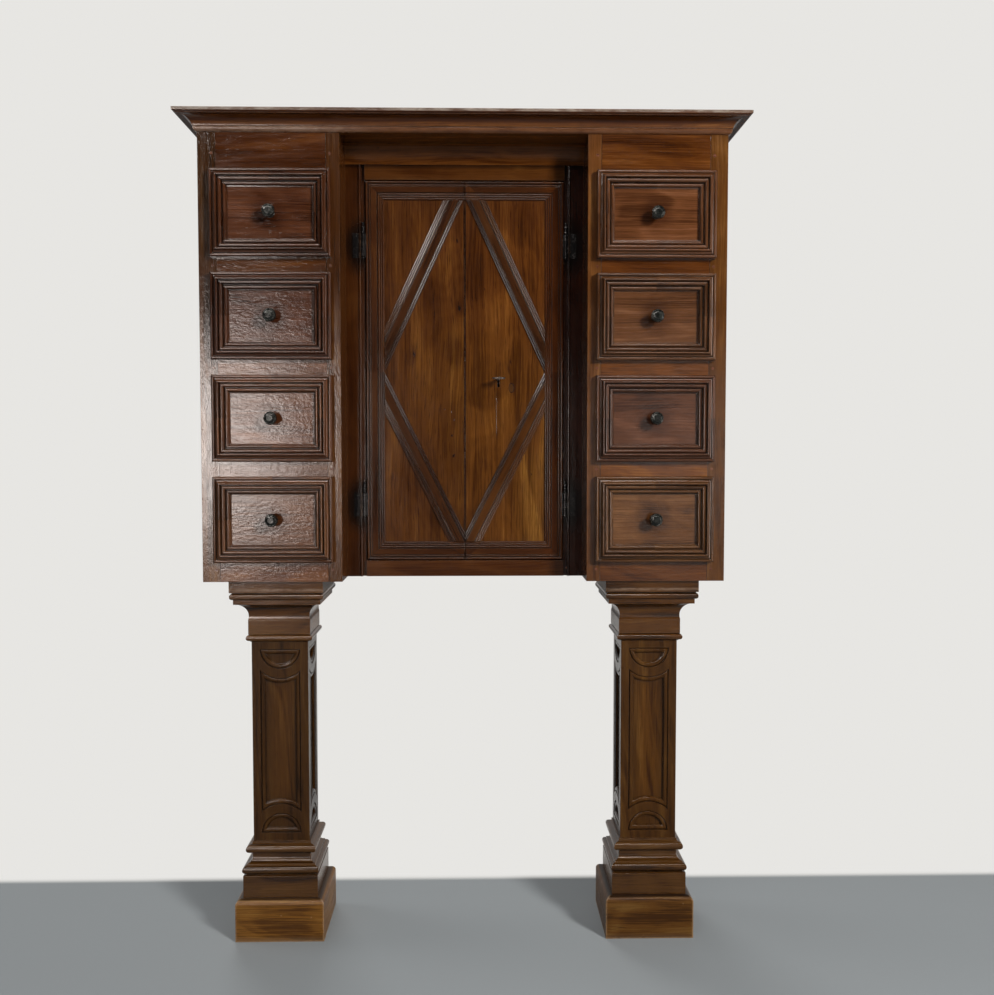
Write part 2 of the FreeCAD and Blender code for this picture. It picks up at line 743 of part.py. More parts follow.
# Inside of the cupboard
def centre_case():
    back = block(-tower_in, tower_in, inside_back_y, back_y, case_z, case_top_z)
    bottom = block(-tower_in, tower_in, centre_back_y, inside_back_y, sill_z - bottom_board, sill_z)
    stop_y = door_back_y + stop_gap
    half = door_field_x
    low_stop = block(-half, half, stop_y, stop_y + stop_width, sill_z, door_z + stop_lap)
    high_stop = block(-half, half, centre_back_y, stop_y + stop_width, door_top_z - stop_lap, case_top_z)
    high_stop = high_stop.cut(block(-half, half, centre_back_y, stop_y, door_top_z - stop_lap,
                                    header_z))
    return [back, bottom, low_stop, high_stop]


def shelves():
    """Loose shelves, each on a pair of cleats fixed to the tower sides."""
    pieces = []
    spacing = (case_top_z - sill_z) / (shelf_count + 1)
    y0 = door_back_y + lock_depth + shelf_gap
    for number in range(1, shelf_count + 1):
        z = sill_z + spacing * number
        pieces.append(block(-tower_in, tower_in, y0, inside_back_y, z, z + shelf_board))
        cleat = block(tower_in - cleat_width, tower_in, y0, inside_back_y, z - cleat_height, z)
        pieces += both_sides([cleat])
    return pieces


save("centre_case", centre_case())
save("shelves", shelves())


# Doors
def door_board_piece():
    board = block(door_meet_x, door_edge_x, door_board_y, door_back_y, door_z, door_top_z)
    for z in hinge_heights:
        board = board.cut(list(door_leaf_box(z, leaf_fit)))
    return board


def door_border():
    """Three mitred sticks: top, bottom and hinge side; the meeting side stays plain."""
    middle_z = (door_z + door_top_z) / 2
    height = door_top_z - door_z
    width = 2 * door_edge_x
    points = scaled(door_border_shares, door_border_width, door_border_height)
    sticks = mitred_border(width, height, points, door_border_width, door_board_y, range(3))
    keep = block(door_meet_x, tower_out, front_y, back_y, -height, height)
    pieces = []
    for stick in sticks:
        piece = stick.common(keep)
        piece.translate(Vector(0, 0, middle_z))
        for z in hinge_heights:
            piece = piece.cut(list(door_leaf_box(z, leaf_fit)))
        pieces.append(piece)
    return pieces


def lozenge():
    """Beaded bands that draw one half of the lozenge on a door."""
    half_height = (door_top_z - door_z) / 2
    vertex = Vector(door_field_x, 0, door_z + half_height)
    field = block(door_meet_x, door_field_x, door_board_y - 2 * lozenge_height, door_board_y,
                  door_z + door_border_width, door_top_z - door_border_width)
    points = scaled(lozenge_shares, lozenge_band, lozenge_height)
    bands = []
    for rise in [half_height - lozenge_top_margin, lozenge_bottom_margin - half_height]:
        run = Vector(-door_field_x, 0, rise)
        travel = Vector(run).normalize()
        outward = Vector(0, 1, 0).cross(travel)
        if outward.z * rise < 0:
            outward = outward * -1
        start = vertex - travel * (2 * lozenge_band)
        place = lambda across, proud: start + outward * across + Vector(0, door_board_y - proud, 0)
        band = bar(points, place, travel * (run.Length + 4 * lozenge_band))
        bands.append(band.common(field))
    return bands


def keyhole():
    """Round hole for the shank with a slot below it for the bit."""
    through = door_board + 2 * overrun
    y = door_board_y - overrun
    slot_half = keyhole_slot_width / 2
    hole = rod(key_shank_radius + fit_clearance, Vector(key_from_meeting, y, key_z),
               Vector(0, 1, 0), through)
    slot = block(key_from_meeting - slot_half, key_from_meeting + slot_half, y, y + through,
                 key_z - keyhole_slot_depth, key_z)
    return hole.fuse(slot)


board = door_board_piece()
save("right_door_panel", [board.cut(keyhole())])
save("left_door_panel", [mirrored(board)])
save_pair("door_border", door_border())
save_pair("door_lozenge", lozenge())


# Lock on the back of the right door; the key turns half a turn and throws the bolt
def lock_case():
    x0 = lock_x
    z0 = key_z - lock_height * lock_drop_share
    outer = block(x0, x0 + lock_width, door_back_y, door_back_y + lock_depth, z0, z0 + lock_height)
    inner = block(x0 + lock_wall, x0 + lock_width - lock_wall, door_back_y,
                  door_back_y + lock_depth - lock_wall, z0 + lock_wall, z0 + lock_height - lock_wall)
    case = outer.cut(inner)
    bridge_x = x0 + bridge_from_edge
    ledge_x = key_from_meeting + ledge_from_key
    bridge = block(bridge_x, bridge_x + post_width, door_back_y, door_back_y + lock_depth,
                   bolt_z - post_width, bolt_z + bolt_height + post_width)
    ledge = block(ledge_x, ledge_x + post_width, door_back_y, door_back_y + lock_depth,
                  z0, bolt_z - bolt_clearance)
    case = case.fuse([bridge, ledge])
    run = block(x0 - overrun, bridge_x + 2 * post_width, bolt_y - bolt_clearance,
                bolt_y + bolt_thickness + bolt_clearance, bolt_z - bolt_clearance,
                bolt_z + bolt_height + bolt_clearance)
    tip = rod(key_shank_radius + fit_clearance, Vector(key_from_meeting, door_back_y, key_z),
              Vector(0, 1, 0), lock_depth + overrun)
    return case.cut([run, tip]).removeSplitter()


def lock_bolt():
    """Bar with two teeth; the key bit moves between them."""
    x0 = lock_x + bolt_clearance
    bar_piece = block(x0, x0 + bolt_length, bolt_y, bolt_y + bolt_thickness, bolt_z, bolt_z + bolt_height)
    tooth_z = bolt_z + bolt_height
    for tooth_x in [key_from_meeting - bolt_tooth_width, key_from_meeting + bolt_notch_width]:
        bar_piece = bar_piece.fuse(block(tooth_x, tooth_x + bolt_tooth_width, bolt_y,
                                         bolt_y + bolt_thickness, tooth_z, tooth_z + bolt_tooth_height))
    return bar_piece.removeSplitter()


def key():
    """Ring bow lying flat, round shank and a bit that points sideways at rest."""
    tip_y = door_back_y + lock_depth
    bow_y = door_board_y - key_shank_reach
    shank = rod(key_shank_radius, Vector(key_from_meeting, bow_y, key_z), Vector(0, 1, 0), tip_y - bow_y)
    bow_centre_y = bow_y - key_bow_length / 2 + key_bow_bar
    bows = []
    for inset in [0, key_bow_bar]:
        half_width = key_bow_width / 2 - inset
        half_length = key_bow_length / 2 - inset
        outline = [(half_width, 0, bow_share), (0, -half_length, bow_share),
                   (-half_width, 0, bow_share), (0, half_length, bow_share)]
        bows.append(bar(outline,
                        lambda x, y: Vector(key_from_meeting + x, bow_centre_y + y,
                                            key_z - key_bow_thickness / 2),
                        Vector(0, 0, key_bow_thickness)))
    bit_y = bolt_y + (bolt_thickness - key_bit_length) / 2
    bit = block(key_from_meeting, key_from_meeting + key_bit_reach, bit_y, bit_y + key_bit_length,
                key_z - key_bit_thickness / 2, key_z + key_bit_thickness / 2)
    return bows[0].cut(bows[1]).fuse([shank, bit])


def bolt_keeper():
    """Staple on the back of the left door that the thrown bolt enters."""
    x1 = -lock_x
    x0 = x1 - keeper_width
    y1 = bolt_y + bolt_thickness + keeper_slack + lock_wall
    body = block(x0, x1, door_back_y, y1, bolt_z - keeper_margin, bolt_z + bolt_height + keeper_margin)
    tunnel = block(x0 - overrun, x1 + overrun, bolt_y - keeper_slack, bolt_y + bolt_thickness + keeper_slack,
                   bolt_z - keeper_slack, bolt_z + bolt_height + keeper_slack)
    return body.cut(tunnel)


save("lock_case", [lock_case()])
save("lock_bolt", [lock_bolt()])
save("key", [key()])
save("bolt_keeper", [bolt_keeper()])


# Top boards and cornice over everything
def cornice():
    """Front run mitred into a return on each side."""
    height = carcass_top_board + cornice_board
    points = scaled(cornice_shares, cornice_projection, height)
    reach = tower_out + cornice_projection
    far_y = front_y - cornice_projection
    front = bar(points, lambda proud, up: Vector(-reach, front_y - proud, case_top_z + up),
                Vector(2 * reach, 0, 0))
    side = bar(points, lambda proud, up: Vector(tower_out + proud, far_y, case_top_z + up),
               Vector(0, case_depth + cornice_projection, 0))
    splay = [(-tower_out, front_y), (tower_out, front_y), (reach, far_y), (-reach, far_y)]
    front = front.common(bar(splay, lambda x, y: Vector(x, y, case_top_z), Vector(0, 0, height)))
    corner = [(tower_out, front_y), (reach, far_y), (reach, back_y), (tower_out, back_y)]
    side = side.common(bar(corner, lambda x, y: Vector(x, y, case_top_z), Vector(0, 0, height)))
    return [front, side, mirrored(side)]


carcass_top_z = case_top_z + carcass_top_board
save("carcass_top", [block(-tower_out, tower_out, front_y, back_y, case_top_z, carcass_top_z)])
save("cornice_board", [block(-tower_out, tower_out, front_y, back_y, carcass_top_z,
                             carcass_top_z + cornice_board)])
save("cornice", cornice())
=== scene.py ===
import bmesh
import bpy
import json
import math
from mathutils import Matrix, Vector

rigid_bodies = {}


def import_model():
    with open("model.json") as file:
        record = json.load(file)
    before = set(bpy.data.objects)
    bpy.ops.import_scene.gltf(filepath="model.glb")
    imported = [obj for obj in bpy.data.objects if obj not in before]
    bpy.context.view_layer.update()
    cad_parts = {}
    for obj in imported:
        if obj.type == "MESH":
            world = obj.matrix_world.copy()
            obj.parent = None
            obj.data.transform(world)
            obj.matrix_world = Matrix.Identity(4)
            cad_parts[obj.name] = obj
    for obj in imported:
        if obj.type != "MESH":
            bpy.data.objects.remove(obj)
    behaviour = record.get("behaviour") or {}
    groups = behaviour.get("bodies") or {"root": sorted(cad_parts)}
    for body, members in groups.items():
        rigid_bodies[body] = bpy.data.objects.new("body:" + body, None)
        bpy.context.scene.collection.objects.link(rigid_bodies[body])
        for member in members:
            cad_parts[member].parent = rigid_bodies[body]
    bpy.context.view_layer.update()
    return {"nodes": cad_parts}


# Coin cabinet on two pillars: waxed walnut, wrought iron hinges, dark bronze knobs.
# Metres, +Z up, front towards -Y.
for leftover in list(bpy.data.objects):
    bpy.data.objects.remove(leftover)
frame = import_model()


# Places on the cabinet that the grain and the joints follow, read off its pieces
def box_of(name):
    # middle and half size of a piece at rest, to a hundredth of a millimetre
    corners = frame["nodes"][name].bound_box
    middle, half = [], []
    for axis in range(3):
        low, high = min(corner[axis] for corner in corners), max(corner[axis] for corner in corners)
        middle.append(round((low + high) / 2, 5))
        half.append(round((high - low) / 2, 5))
    return middle, half


tower_middle, tower_half = box_of("right_tower_front_frame")
TOWER_OUT = round(tower_middle[0] + tower_half[0], 5)
TOWER_IN = round(tower_middle[0] - tower_half[0], 5)
CASE_FRONT = round(tower_middle[1] - tower_half[1], 5)
INNER_STILE = 0.034
OUTER_STILE = 0.044
OPENING_IN = round(TOWER_IN + INNER_STILE, 5)
OPENING_OUT = round(TOWER_OUT - OUTER_STILE, 5)

drawer_middle, drawer_half = box_of("right_drawer_4_front")
DRAWER_LINE, LOWEST_DRAWER = drawer_middle[0], drawer_middle[2]
DRAWER_HALF_WIDTH, DRAWER_HALF_HEIGHT = drawer_half[0], drawer_half[2]
DRAWER_PITCH = round(box_of("right_drawer_3_front")[0][2] - LOWEST_DRAWER, 5)
DRAWER_MOULDING = 0.0445
OPENING_HEIGHT = 0.193
FIRST_OPENING = round(LOWEST_DRAWER - OPENING_HEIGHT / 2, 5)

door_middle, door_half = box_of("right_door_border")
DOOR_MIDDLE, DOOR_CENTRE_Z = door_middle[0], door_middle[2]
DOOR_HALF, DOOR_HALF_HEIGHT = door_half[0], door_half[2]
lozenge_middle, lozenge_half = box_of("right_door_lozenge")
LOZENGE_SIDE = round(lozenge_middle[0] + lozenge_half[0], 5)
LOZENGE_TOP = 1.926
LOZENGE_FOOT = 1.049
CUPBOARD_STILE = 0.0495
RECESS_STILE = round(TOWER_IN - CUPBOARD_STILE, 5)
BETWEEN_RAILS = 1.5

# Places of single marks
LOWER_HINGE = 0.146
UPPER_HINGE = 0.167
HINGE_HEIGHTS = (round(DOOR_CENTRE_Z - DOOR_HALF_HEIGHT + LOWER_HINGE, 5),
                 round(DOOR_CENTRE_Z + DOOR_HALF_HEIGHT - UPPER_HINGE, 5))
HINGE_LINE = 0.275
HINGE_SQUEEZE = 0.6
HEADER_FOOT = 1.968
HEADER_SHADOW_LINE = (1.992, 2.004)
PLUG_X, PLUG_Z, PLUG_RADIUS, PLUG_SQUEEZE = 0.1221, 1.4320, 0.0066, 0.55
SPLIT_X = 0.0825
SPLIT_FOOT = (1.290, 1.32)
SPLIT_TOP = (1.40, 1.43)
POLISH_SETS_IN = (1.45, 1.80)
CORNICE_COVE = (2.0790, 2.0735)
CORNICE_FILLET = (2.0925, 2.0945)
CORNICE_LOWEST_BAND = (2.0690, 2.0665)
CAPITAL_CREST = 0.9145
PLINTH_JOINT = (0.1040, 0.1095)

# Colours that several marks share, in linear light
OLD_WAX_AND_SHADE = (0.006, 0.0025, 0.0015, 1)
DIRT_AND_SHADE = (0.006, 0.003, 0.002, 1)
JOINT_DIRT = (0.008, 0.004, 0.003, 1)
DUST = (0.150, 0.125, 0.100, 1)
DULLED = (0.45, 0.38, 0.36, 1)
OFF_WHITE = (0.80, 0.79, 0.765, 1)


# Laying out nodes
def put(tree, kind, **settings):
    node = tree.nodes.new(kind)
    for name, value in settings.items():
        setattr(node, name, value)
    return node


def feed(tree, socket, value):
    if isinstance(value, bpy.types.NodeSocket):
        tree.links.new(value, socket)
    else:
        socket.default_value = value


def calc(tree, operation, *values):
    node = put(tree, "ShaderNodeMath", operation=operation)
    for socket, value in zip(node.inputs, values):
        feed(tree, socket, value)
    return node.outputs[0]


def total(tree, *values):
    result = values[0]
    for value in values[1:]:
        result = calc(tree, "ADD", result, value)
    return result


def times(tree, *values):
    result = values[0]
    for value in values[1:]:
        result = calc(tree, "MULTIPLY", result, value)
    return result


def less(tree, first, second):
    return calc(tree, "SUBTRACT", first, second)


def size_of(tree, value):
    return calc(tree, "ABSOLUTE", value)


def ramp(tree, value, low, high, start=0.0, end=1.0):
    node = put(tree, "ShaderNodeMapRange", interpolation_type="SMOOTHSTEP")
    for socket, number in zip(node.inputs, (value, low, high, start, end)):
        feed(tree, socket, number)
    return node.outputs[0]


def tint(tree, amount, first, second, way="MIX"):
    node = put(tree, "ShaderNodeMix", data_type="RGBA", blend_type=way)
    feed(tree, node.inputs[0], amount)
    feed(tree, node.inputs[6], first)
    feed(tree, node.inputs[7], second)
    return node.outputs[2]


def choose(tree, amount, first, second):
    node = put(tree, "ShaderNodeMix", data_type="FLOAT")
    feed(tree, node.inputs[0], amount)
    feed(tree, node.inputs[2], first)
    feed(tree, node.inputs[3], second)
    return node.outputs[0]


def multiply(tree, colour, by):
    return tint(tree, 1.0, colour, by, "MULTIPLY")


def shade(tree, amount, colour, by):
    # multiplies a colour only where the mask asks for it
    return tint(tree, amount, colour, multiply(tree, colour, by))


def over(tree, first, second):
    return calc(tree, "GREATER_THAN", first, second)


def under(tree, first, second):
    return calc(tree, "LESS_THAN", first, second)


def greater_of(tree, first, second):
    return calc(tree, "MAXIMUM", first, second)


def facing(tree, axis):
    # how far the surface looks along one axis of the cabinet
    return parts_of(tree, put(tree, "ShaderNodeTexCoord").outputs["Normal"])[axis]


def choose_line(tree, amount, first, second):
    node = put(tree, "ShaderNodeMix", data_type="VECTOR")
    feed(tree, node.inputs[0], amount)
    feed(tree, node.inputs[4], first)
    feed(tree, node.inputs[5], second)
    return node.outputs[1]


def along(tree, vector, x, y, z):
    node = put(tree, "ShaderNodeVectorMath", operation="MULTIPLY")
    feed(tree, node.inputs[0], vector)
    node.inputs[1].default_value = (x, y, z)
    return node.outputs[0]


def join(tree, first, second, operation="ADD"):
    node = put(tree, "ShaderNodeVectorMath", operation=operation)
    feed(tree, node.inputs[0], first)
    feed(tree, node.inputs[1], second)
    return node.outputs[1] if operation in ("DISTANCE", "DOT_PRODUCT", "LENGTH") else node.outputs[0]


def triple(tree, x, y, z):
    node = put(tree, "ShaderNodeCombineXYZ")
    for socket, value in zip(node.inputs, (x, y, z)):
        feed(tree, socket, value)
    return node.outputs[0]


def parts_of(tree, vector):
    node = put(tree, "ShaderNodeSeparateXYZ")
    feed(tree, node.inputs[0], vector)
    return node.outputs[0], node.outputs[1], node.outputs[2]


def cloud(tree, vector, scale, detail=3.0, roughness=0.55, distortion=0.0):
    node = put(tree, "ShaderNodeTexNoise")
    feed(tree, node.inputs["Vector"], vector)
    node.inputs["Scale"].default_value = scale
    node.inputs["Detail"].default_value = detail
    node.inputs["Roughness"].default_value = roughness
    node.inputs["Distortion"].default_value = distortion
    return node.outputs[0]


def grain_cloud(tree, line, across, lengthways, detail=2.0, roughness=0.55):
    # noise drawn out along the grain: so many cells to the metre across it and along it
    return cloud(tree, along(tree, line, across, across, lengthways), 1.0, detail, roughness)


def new_group(name, takes, gives):
    group = bpy.data.node_groups.new(name, "ShaderNodeTree")
    for label, kind, value in takes:
        socket = group.interface.new_socket(label, in_out="INPUT", socket_type="NodeSocket" + kind)
        if value is not None:
            socket.default_value = value
    for label, kind in gives:
        group.interface.new_socket(label, in_out="OUTPUT", socket_type="NodeSocket" + kind)
    start = put(group, "NodeGroupInput")
    end = put(group, "NodeGroupOutput")
    return group, start.outputs, end.inputs


def use(tree, group, **values):
    node = put(tree, "ShaderNodeGroup", node_tree=group)
    for label, value in values.items():
        feed(tree, node.inputs[label], value)
    return node.outputs


# Walnut grain: the grain runs along the third axis of the vector that it takes
BOARD_SHIFT = (1.37, 0.61, 2.23)
RINGS_PER_METRE = 170.0
TREE_LEAN = 0.035


def make_walnut_grain():
    group, take, give = new_group(
        "walnut grain",
        [("Grain", "Vector", None), ("Board", "Float", 0.0),
         ("Dark", "Color", None), ("Middle", "Color", None), ("Light", "Color", None),
         ("Swirl", "Float", 0.5), ("Streaks", "Float", 0.5), ("Contrast", "Float", 1.0),
         ("Dashes", "Float", 0.35), ("Tooled", "Float", 0.17)],
        [("Colour", "Color"), ("Height", "Float"), ("Tone", "Float"), ("Rubbed", "Float")])
    offset = triple(group, *[times(group, take["Board"], shift) for shift in BOARD_SHIFT])
    line = join(group, take["Grain"], offset)
    # the boards wander a little, so that no ring runs dead straight
    bend = less(group, grain_cloud(group, line, 6.0, 1.6), 0.5)
    ripple = less(group, grain_cloud(group, line, 28.0, 9.0), 0.5)
    x, y, z = parts_of(group, line)
    wander = total(group, times(group, bend, 0.085), times(group, ripple, 0.010))
    across = total(group, x, times(group, take["Swirl"], wander))
    # growth rings of a flat-sawn board, cut by a tree axis that leans
    luck = less(group, calc(group, "FRACT", times(group, take["Board"], 0.371)), 0.5)
    heart = total(group, times(group, luck, 0.12), 0.01)
    depth = total(group, y, times(group, z, TREE_LEAN), times(group, bend, 0.03))
    near = less(group, across, total(group, heart, times(group, take["Board"], BOARD_SHIFT[0])))
    from_heart = calc(group, "SQRT", total(group, times(group, near, near), times(group, depth, depth)))
    ring = put(group, "ShaderNodeTexNoise", noise_dimensions="1D")
    feed(group, ring.inputs["W"], times(group, from_heart, RINGS_PER_METRE))
    ring.inputs["Scale"].default_value = 1.0
    ring.inputs["Detail"].default_value = 2.0
    rings = ramp(group, ring.outputs[0], 0.34, 0.68)
    swayed = triple(group, across, y, z)
    broad = ramp(group, grain_cloud(group, swayed, 26.0, 1.7, 3.0), 0.33, 0.68)
    streak = ramp(group, grain_cloud(group, swayed, 300.0, 6.0, 4.0, 0.62), 0.30, 0.72)
    pore = ramp(group, grain_cloud(group, swayed, 1100.0, 45.0, 2.0, 0.6), 0.56, 0.72)
    dash = ramp(group, grain_cloud(group, swayed, 480.0, 22.0, 2.0, 0.5), 0.57, 0.70)
    tone = total(group, times(group, rings, 0.26), times(group, broad, 0.30),
                 times(group, choose(group, take["Streaks"], 0.5, streak), 0.44))
    tone = total(group, 0.5, times(group, less(group, tone, 0.5), take["Contrast"]))
    low = tint(group, ramp(group, tone, 0.10, 0.52), take["Dark"], take["Middle"])
    colour = tint(group, ramp(group, tone, 0.50, 0.95), low, take["Light"])
    vessel = multiply(group, take["Dark"], (0.45, 0.42, 0.45, 1))
    colour = tint(group, times(group, pore, 0.30), colour, take["Dark"])
    colour = tint(group, times(group, dash, take["Dashes"]), colour, vessel)
    # each board has its own tone
    own = put(group, "ShaderNodeTexWhiteNoise", noise_dimensions="1D")
    feed(group, own.inputs["W"], take["Board"])
    level = total(group, 0.86, times(group, own.outputs[0], 0.28))
    colour = multiply(group, colour, triple(group, level, level, level))
    # hand-planed surface, open pores and raised late wood
    planed = grain_cloud(group, line, 60.0, 26.0, 3.0, 0.6)
    grit = grain_cloud(group, line, 620.0, 240.0)
    tooled = grain_cloud(group, line, 160.0, 90.0, 3.0, 0.65)
    scratch = grain_cloud(group, line, 520.0, 45.0)
    height = total(group, times(group, planed, 0.55), times(group, rings, 0.03), times(group, streak, 0.035),
                   times(group, pore, -0.016), times(group, grit, 0.010), times(group, scratch, 0.060),
                   times(group, dash, -0.03), times(group, tooled, take["Tooled"]))
    rubbed = ramp(group, grain_cloud(group, line, 120.0, 22.0, 4.0, 0.68), 0.32, 0.68)
    feed(group, give["Colour"], colour)
    feed(group, give["Height"], height)
    feed(group, give["Tone"], tone)
    feed(group, give["Rubbed"], rubbed)
    return group


# Wear: corners are softened, and rubbed pale where they stand proud
def make_worn_edge():
    group, take, give = new_group(
        "worn edge",
        [("Place", "Vector", None), ("Radius", "Float", 0.0012), ("Reach", "Float", 0.004),
         ("Patchy", "Float", 0.5)],
        [("Edge", "Float"), ("Softened", "Vector")])
    soft = put(group, "ShaderNodeBevel", samples=4)
    feed(group, soft.inputs["Radius"], take["Radius"])
    wide = put(group, "ShaderNodeBevel", samples=4)
    feed(group, wide.inputs["Radius"], take["Reach"])
    plain = put(group, "ShaderNodeNewGeometry").outputs["Normal"]
    turned = less(group, 1.0, join(group, wide.outputs[0], plain, "DOT_PRODUCT"))
    open_air = put(group, "ShaderNodeAmbientOcclusion", samples=4, only_local=True)
    open_air.inputs["Distance"].default_value = 0.006
    proud = ramp(group, open_air.outputs["AO"], 0.80, 0.98)
    patch = cloud(group, take["Place"], 55.0, 4.0, 0.65)
    low = times(group, take["Patchy"], 0.62)
    broken = ramp(group, patch, low, total(group, low, 0.22))
    feed(group, give["Edge"], times(group, ramp(group, turned, 0.015, 0.16), proud, broken))
    feed(group, give["Softened"], soft.outputs[0])
    return group


# Old wax and dust that gather in quirks and corners, together with painted shade there: the mask is ambient
# occlusion
def make_groove_wax_and_shade():
    group, take, give = new_group(
        "groove wax and shade", [("Place", "Vector", None), ("Depth", "Float", 0.006)],
        [("Groove", "Float"), ("Smear", "Float")])
    closeness = put(group, "ShaderNodeAmbientOcclusion", samples=6, only_local=True)
    feed(group, closeness.inputs["Distance"], take["Depth"])
    closed = ramp(group, less(group, 1.0, closeness.outputs["AO"]), 0.25, 0.75)
    smear = cloud(group, take["Place"], 38.0, 4.0, 0.6)
    broken = ramp(group, smear, 0.20, 0.60, 0.55, 1.0)
    feed(group, give["Groove"], times(group, closed, broken))
    feed(group, give["Smear"], ramp(group, smear, 0.35, 0.65))
    return group


# Scattered small marks: pale flecks of dust and dark nicks
def make_flecks():
    group, take, give = new_group(
        "flecks", [("Place", "Vector", None), ("Size", "Float", 0.003), ("Share", "Float", 0.1)],
        [("Fleck", "Float")])
    node = put(group, "ShaderNodeTexVoronoi", feature="F1")
    feed(group, node.inputs["Vector"], take["Place"])
    feed(group, node.inputs["Scale"], calc(group, "DIVIDE", 0.35, take["Size"]))
    luck = parts_of(group, node.outputs["Color"])
    wide = total(group, 0.05, times(group, luck[1], luck[1], 0.24))
    spot = ramp(group, node.outputs["Distance"], times(group, wide, 0.35), wide, 1.0, 0.0)
    ragged = ramp(group, cloud(group, take["Place"], 700.0, 3.0, 0.7), 0.36, 0.56)
    feed(group, give["Fleck"], times(group, spot, ragged, under(group, luck[0], take["Share"])))
    return group


# Dark line where two boards meet, on the faces that look forward
def make_joint_line():
    group, take, give = new_group(
        "joint line", [("Away", "Float", 0.0), ("Narrow", "Float", 0.0003), ("Wide", "Float", 0.0012)],
        [("Line", "Float")])
    line = ramp(group, size_of(group, take["Away"]), take["Narrow"], take["Wide"], 1.0, 0.0)
    feed(group, give["Line"], times(group, line, under(group, facing(group, 1), -0.2)))
    return group


# Dark, rubbed corner where the two doors meet
def make_meeting_corner():
    group, take, give = new_group("meeting corner", [("Place", "Vector", None)], [("Corner", "Float")])
    away = size_of(group, parts_of(group, take["Place"])[0])
    feed(group, give["Corner"], ramp(group, away, 0.0014, 0.0042, 0.88, 0.0))
    return group


# Dust that settles on the faces that look up
def make_settled_dust():
    group, take, give = new_group(
        "settled dust", [("Place", "Vector", None)], [("Up", "Float"), ("Dust", "Float")])
    up = ramp(group, facing(group, 2), 0.5, 0.9)
    patches = ramp(group, cloud(group, take["Place"], 9.0, 5.0, 0.65), 0.25, 0.75, 0.35, 0.75)
    feed(group, give["Up"], up)
    feed(group, give["Dust"], times(group, up, patches))
    return group


# The upper half of the towers is polished more than the lower
def make_high_polish():
    group, take, give = new_group("high polish", [("Place", "Vector", None)], [("Dull", "Float")])
    z = parts_of(group, take["Place"])[2]
    feed(group, give["Dull"], ramp(group, z, *POLISH_SETS_IN, 0.0, -0.055))
    return group


walnut_grain = make_walnut_grain()
worn_edge = make_worn_edge()
groove_wax_and_shade = make_groove_wax_and_shade()
flecks = make_flecks()
joint_line = make_joint_line()
meeting_corner = make_meeting_corner()
settled_dust = make_settled_dust()
high_polish = make_high_polish()


# How the grain lies in each kind of piece
# Each gives the grain vector, the board's number and its joint: how far it is and how wide its line, or None
FINE_JOINT = (0.0002, 0.0010)
FRAME_JOINT = (0.0002, 0.0011)
MITRE_JOINT = (0.0003, 0.0012)


def upright(tree, x, y, z, side):
    return triple(tree, x, y, z), times(tree, side, 3.0), None


def level_across(tree, x, y, z, side):
    return triple(tree, z, y, x), times(tree, side, 3.0), None


def round_the_box(tree, x, y, z, side):
    turned = over(tree, size_of(tree, facing(tree, 0)), 0.5)
    line = choose_line(tree, turned, triple(tree, z, y, x), triple(tree, z, x, y))
    return line, total(tree, times(tree, side, 3.0), times(tree, turned, 7.0)), None


def full_width(tree, x, y, z, side):
    return triple(tree, z, y, x), 6.0, None


def cupboard_frame(tree, x, y, z, side):
    far = size_of(tree, x)
    rail = under(tree, far, RECESS_STILE)
    line = choose_line(tree, rail, triple(tree, x, y, z), triple(tree, z, y, x))
    stile_board = total(tree, times(tree, side, 3.0), 44.0)
    rail_board = total(tree, times(tree, over(tree, z, BETWEEN_RAILS), 4.0), 37.0)
    return line, choose(tree, rail, stile_board, rail_board), (less(tree, far, RECESS_STILE), *FINE_JOINT)


def framed(tree, x, y, z, side):
    far = size_of(tree, x)
    rail = times(tree, over(tree, far, OPENING_IN), under(tree, far, OPENING_OUT))
    row = calc(tree, "FLOOR", calc(tree, "DIVIDE", less(tree, z, FIRST_OPENING), DRAWER_PITCH))
    outer = over(tree, far, DRAWER_LINE)
    board = choose(tree, rail, total(tree, outer, 11.0), total(tree, row, 3.0))
    line = choose_line(tree, rail, triple(tree, x, y, z), triple(tree, z, y, x))
    near_in = size_of(tree, less(tree, far, OPENING_IN))
    near_out = size_of(tree, less(tree, far, OPENING_OUT))
    away = calc(tree, "MINIMUM", near_in, near_out)
    return line, total(tree, board, times(tree, side, 20.0)), (away, *FRAME_JOINT)


def mitred(tree, u, v, x, y, z, board):
    turn = less(tree, u, v)
    stile = over(tree, turn, 0.0)
    line = choose_line(tree, stile, triple(tree, z, y, x), triple(tree, x, y, z))
    return line, total(tree, board, times(tree, stile, 5.0)), (turn, *MITRE_JOINT)


def door_border(tree, x, y, z, side):
    u = less(tree, size_of(tree, less(tree, size_of(tree, x), DOOR_MIDDLE)), DOOR_HALF)
    rise = less(tree, z, DOOR_CENTRE_Z)
    v = less(tree, size_of(tree, rise), DOOR_HALF_HEIGHT)
    board = total(tree, times(tree, side, 7.0), calc(tree, "SIGN", rise), 30.0)
    return mitred(tree, u, v, x, y, z, board)


def lozenge(tree, x, y, z, side):
    far = less(tree, size_of(tree, x), LOZENGE_SIDE)
    rise = less(tree, z, DOOR_CENTRE_Z)
    upper = over(tree, rise, 0.0)
    lines = []
    for tip in (LOZENGE_FOOT, LOZENGE_TOP):
        length = math.hypot(LOZENGE_SIDE, tip - DOOR_CENTRE_Z)
        inward, upward = -LOZENGE_SIDE / length, (tip - DOOR_CENTRE_Z) / length
        run = total(tree, times(tree, far, inward), times(tree, rise, upward))
        off = less(tree, times(tree, far, upward), times(tree, rise, inward))
        lines.append(triple(tree, off, y, run))
    board = total(tree, times(tree, upper, 4.0), times(tree, side, 9.0), 50.0)
    return choose_line(tree, upper, *lines), board, (rise, *MITRE_JOINT)


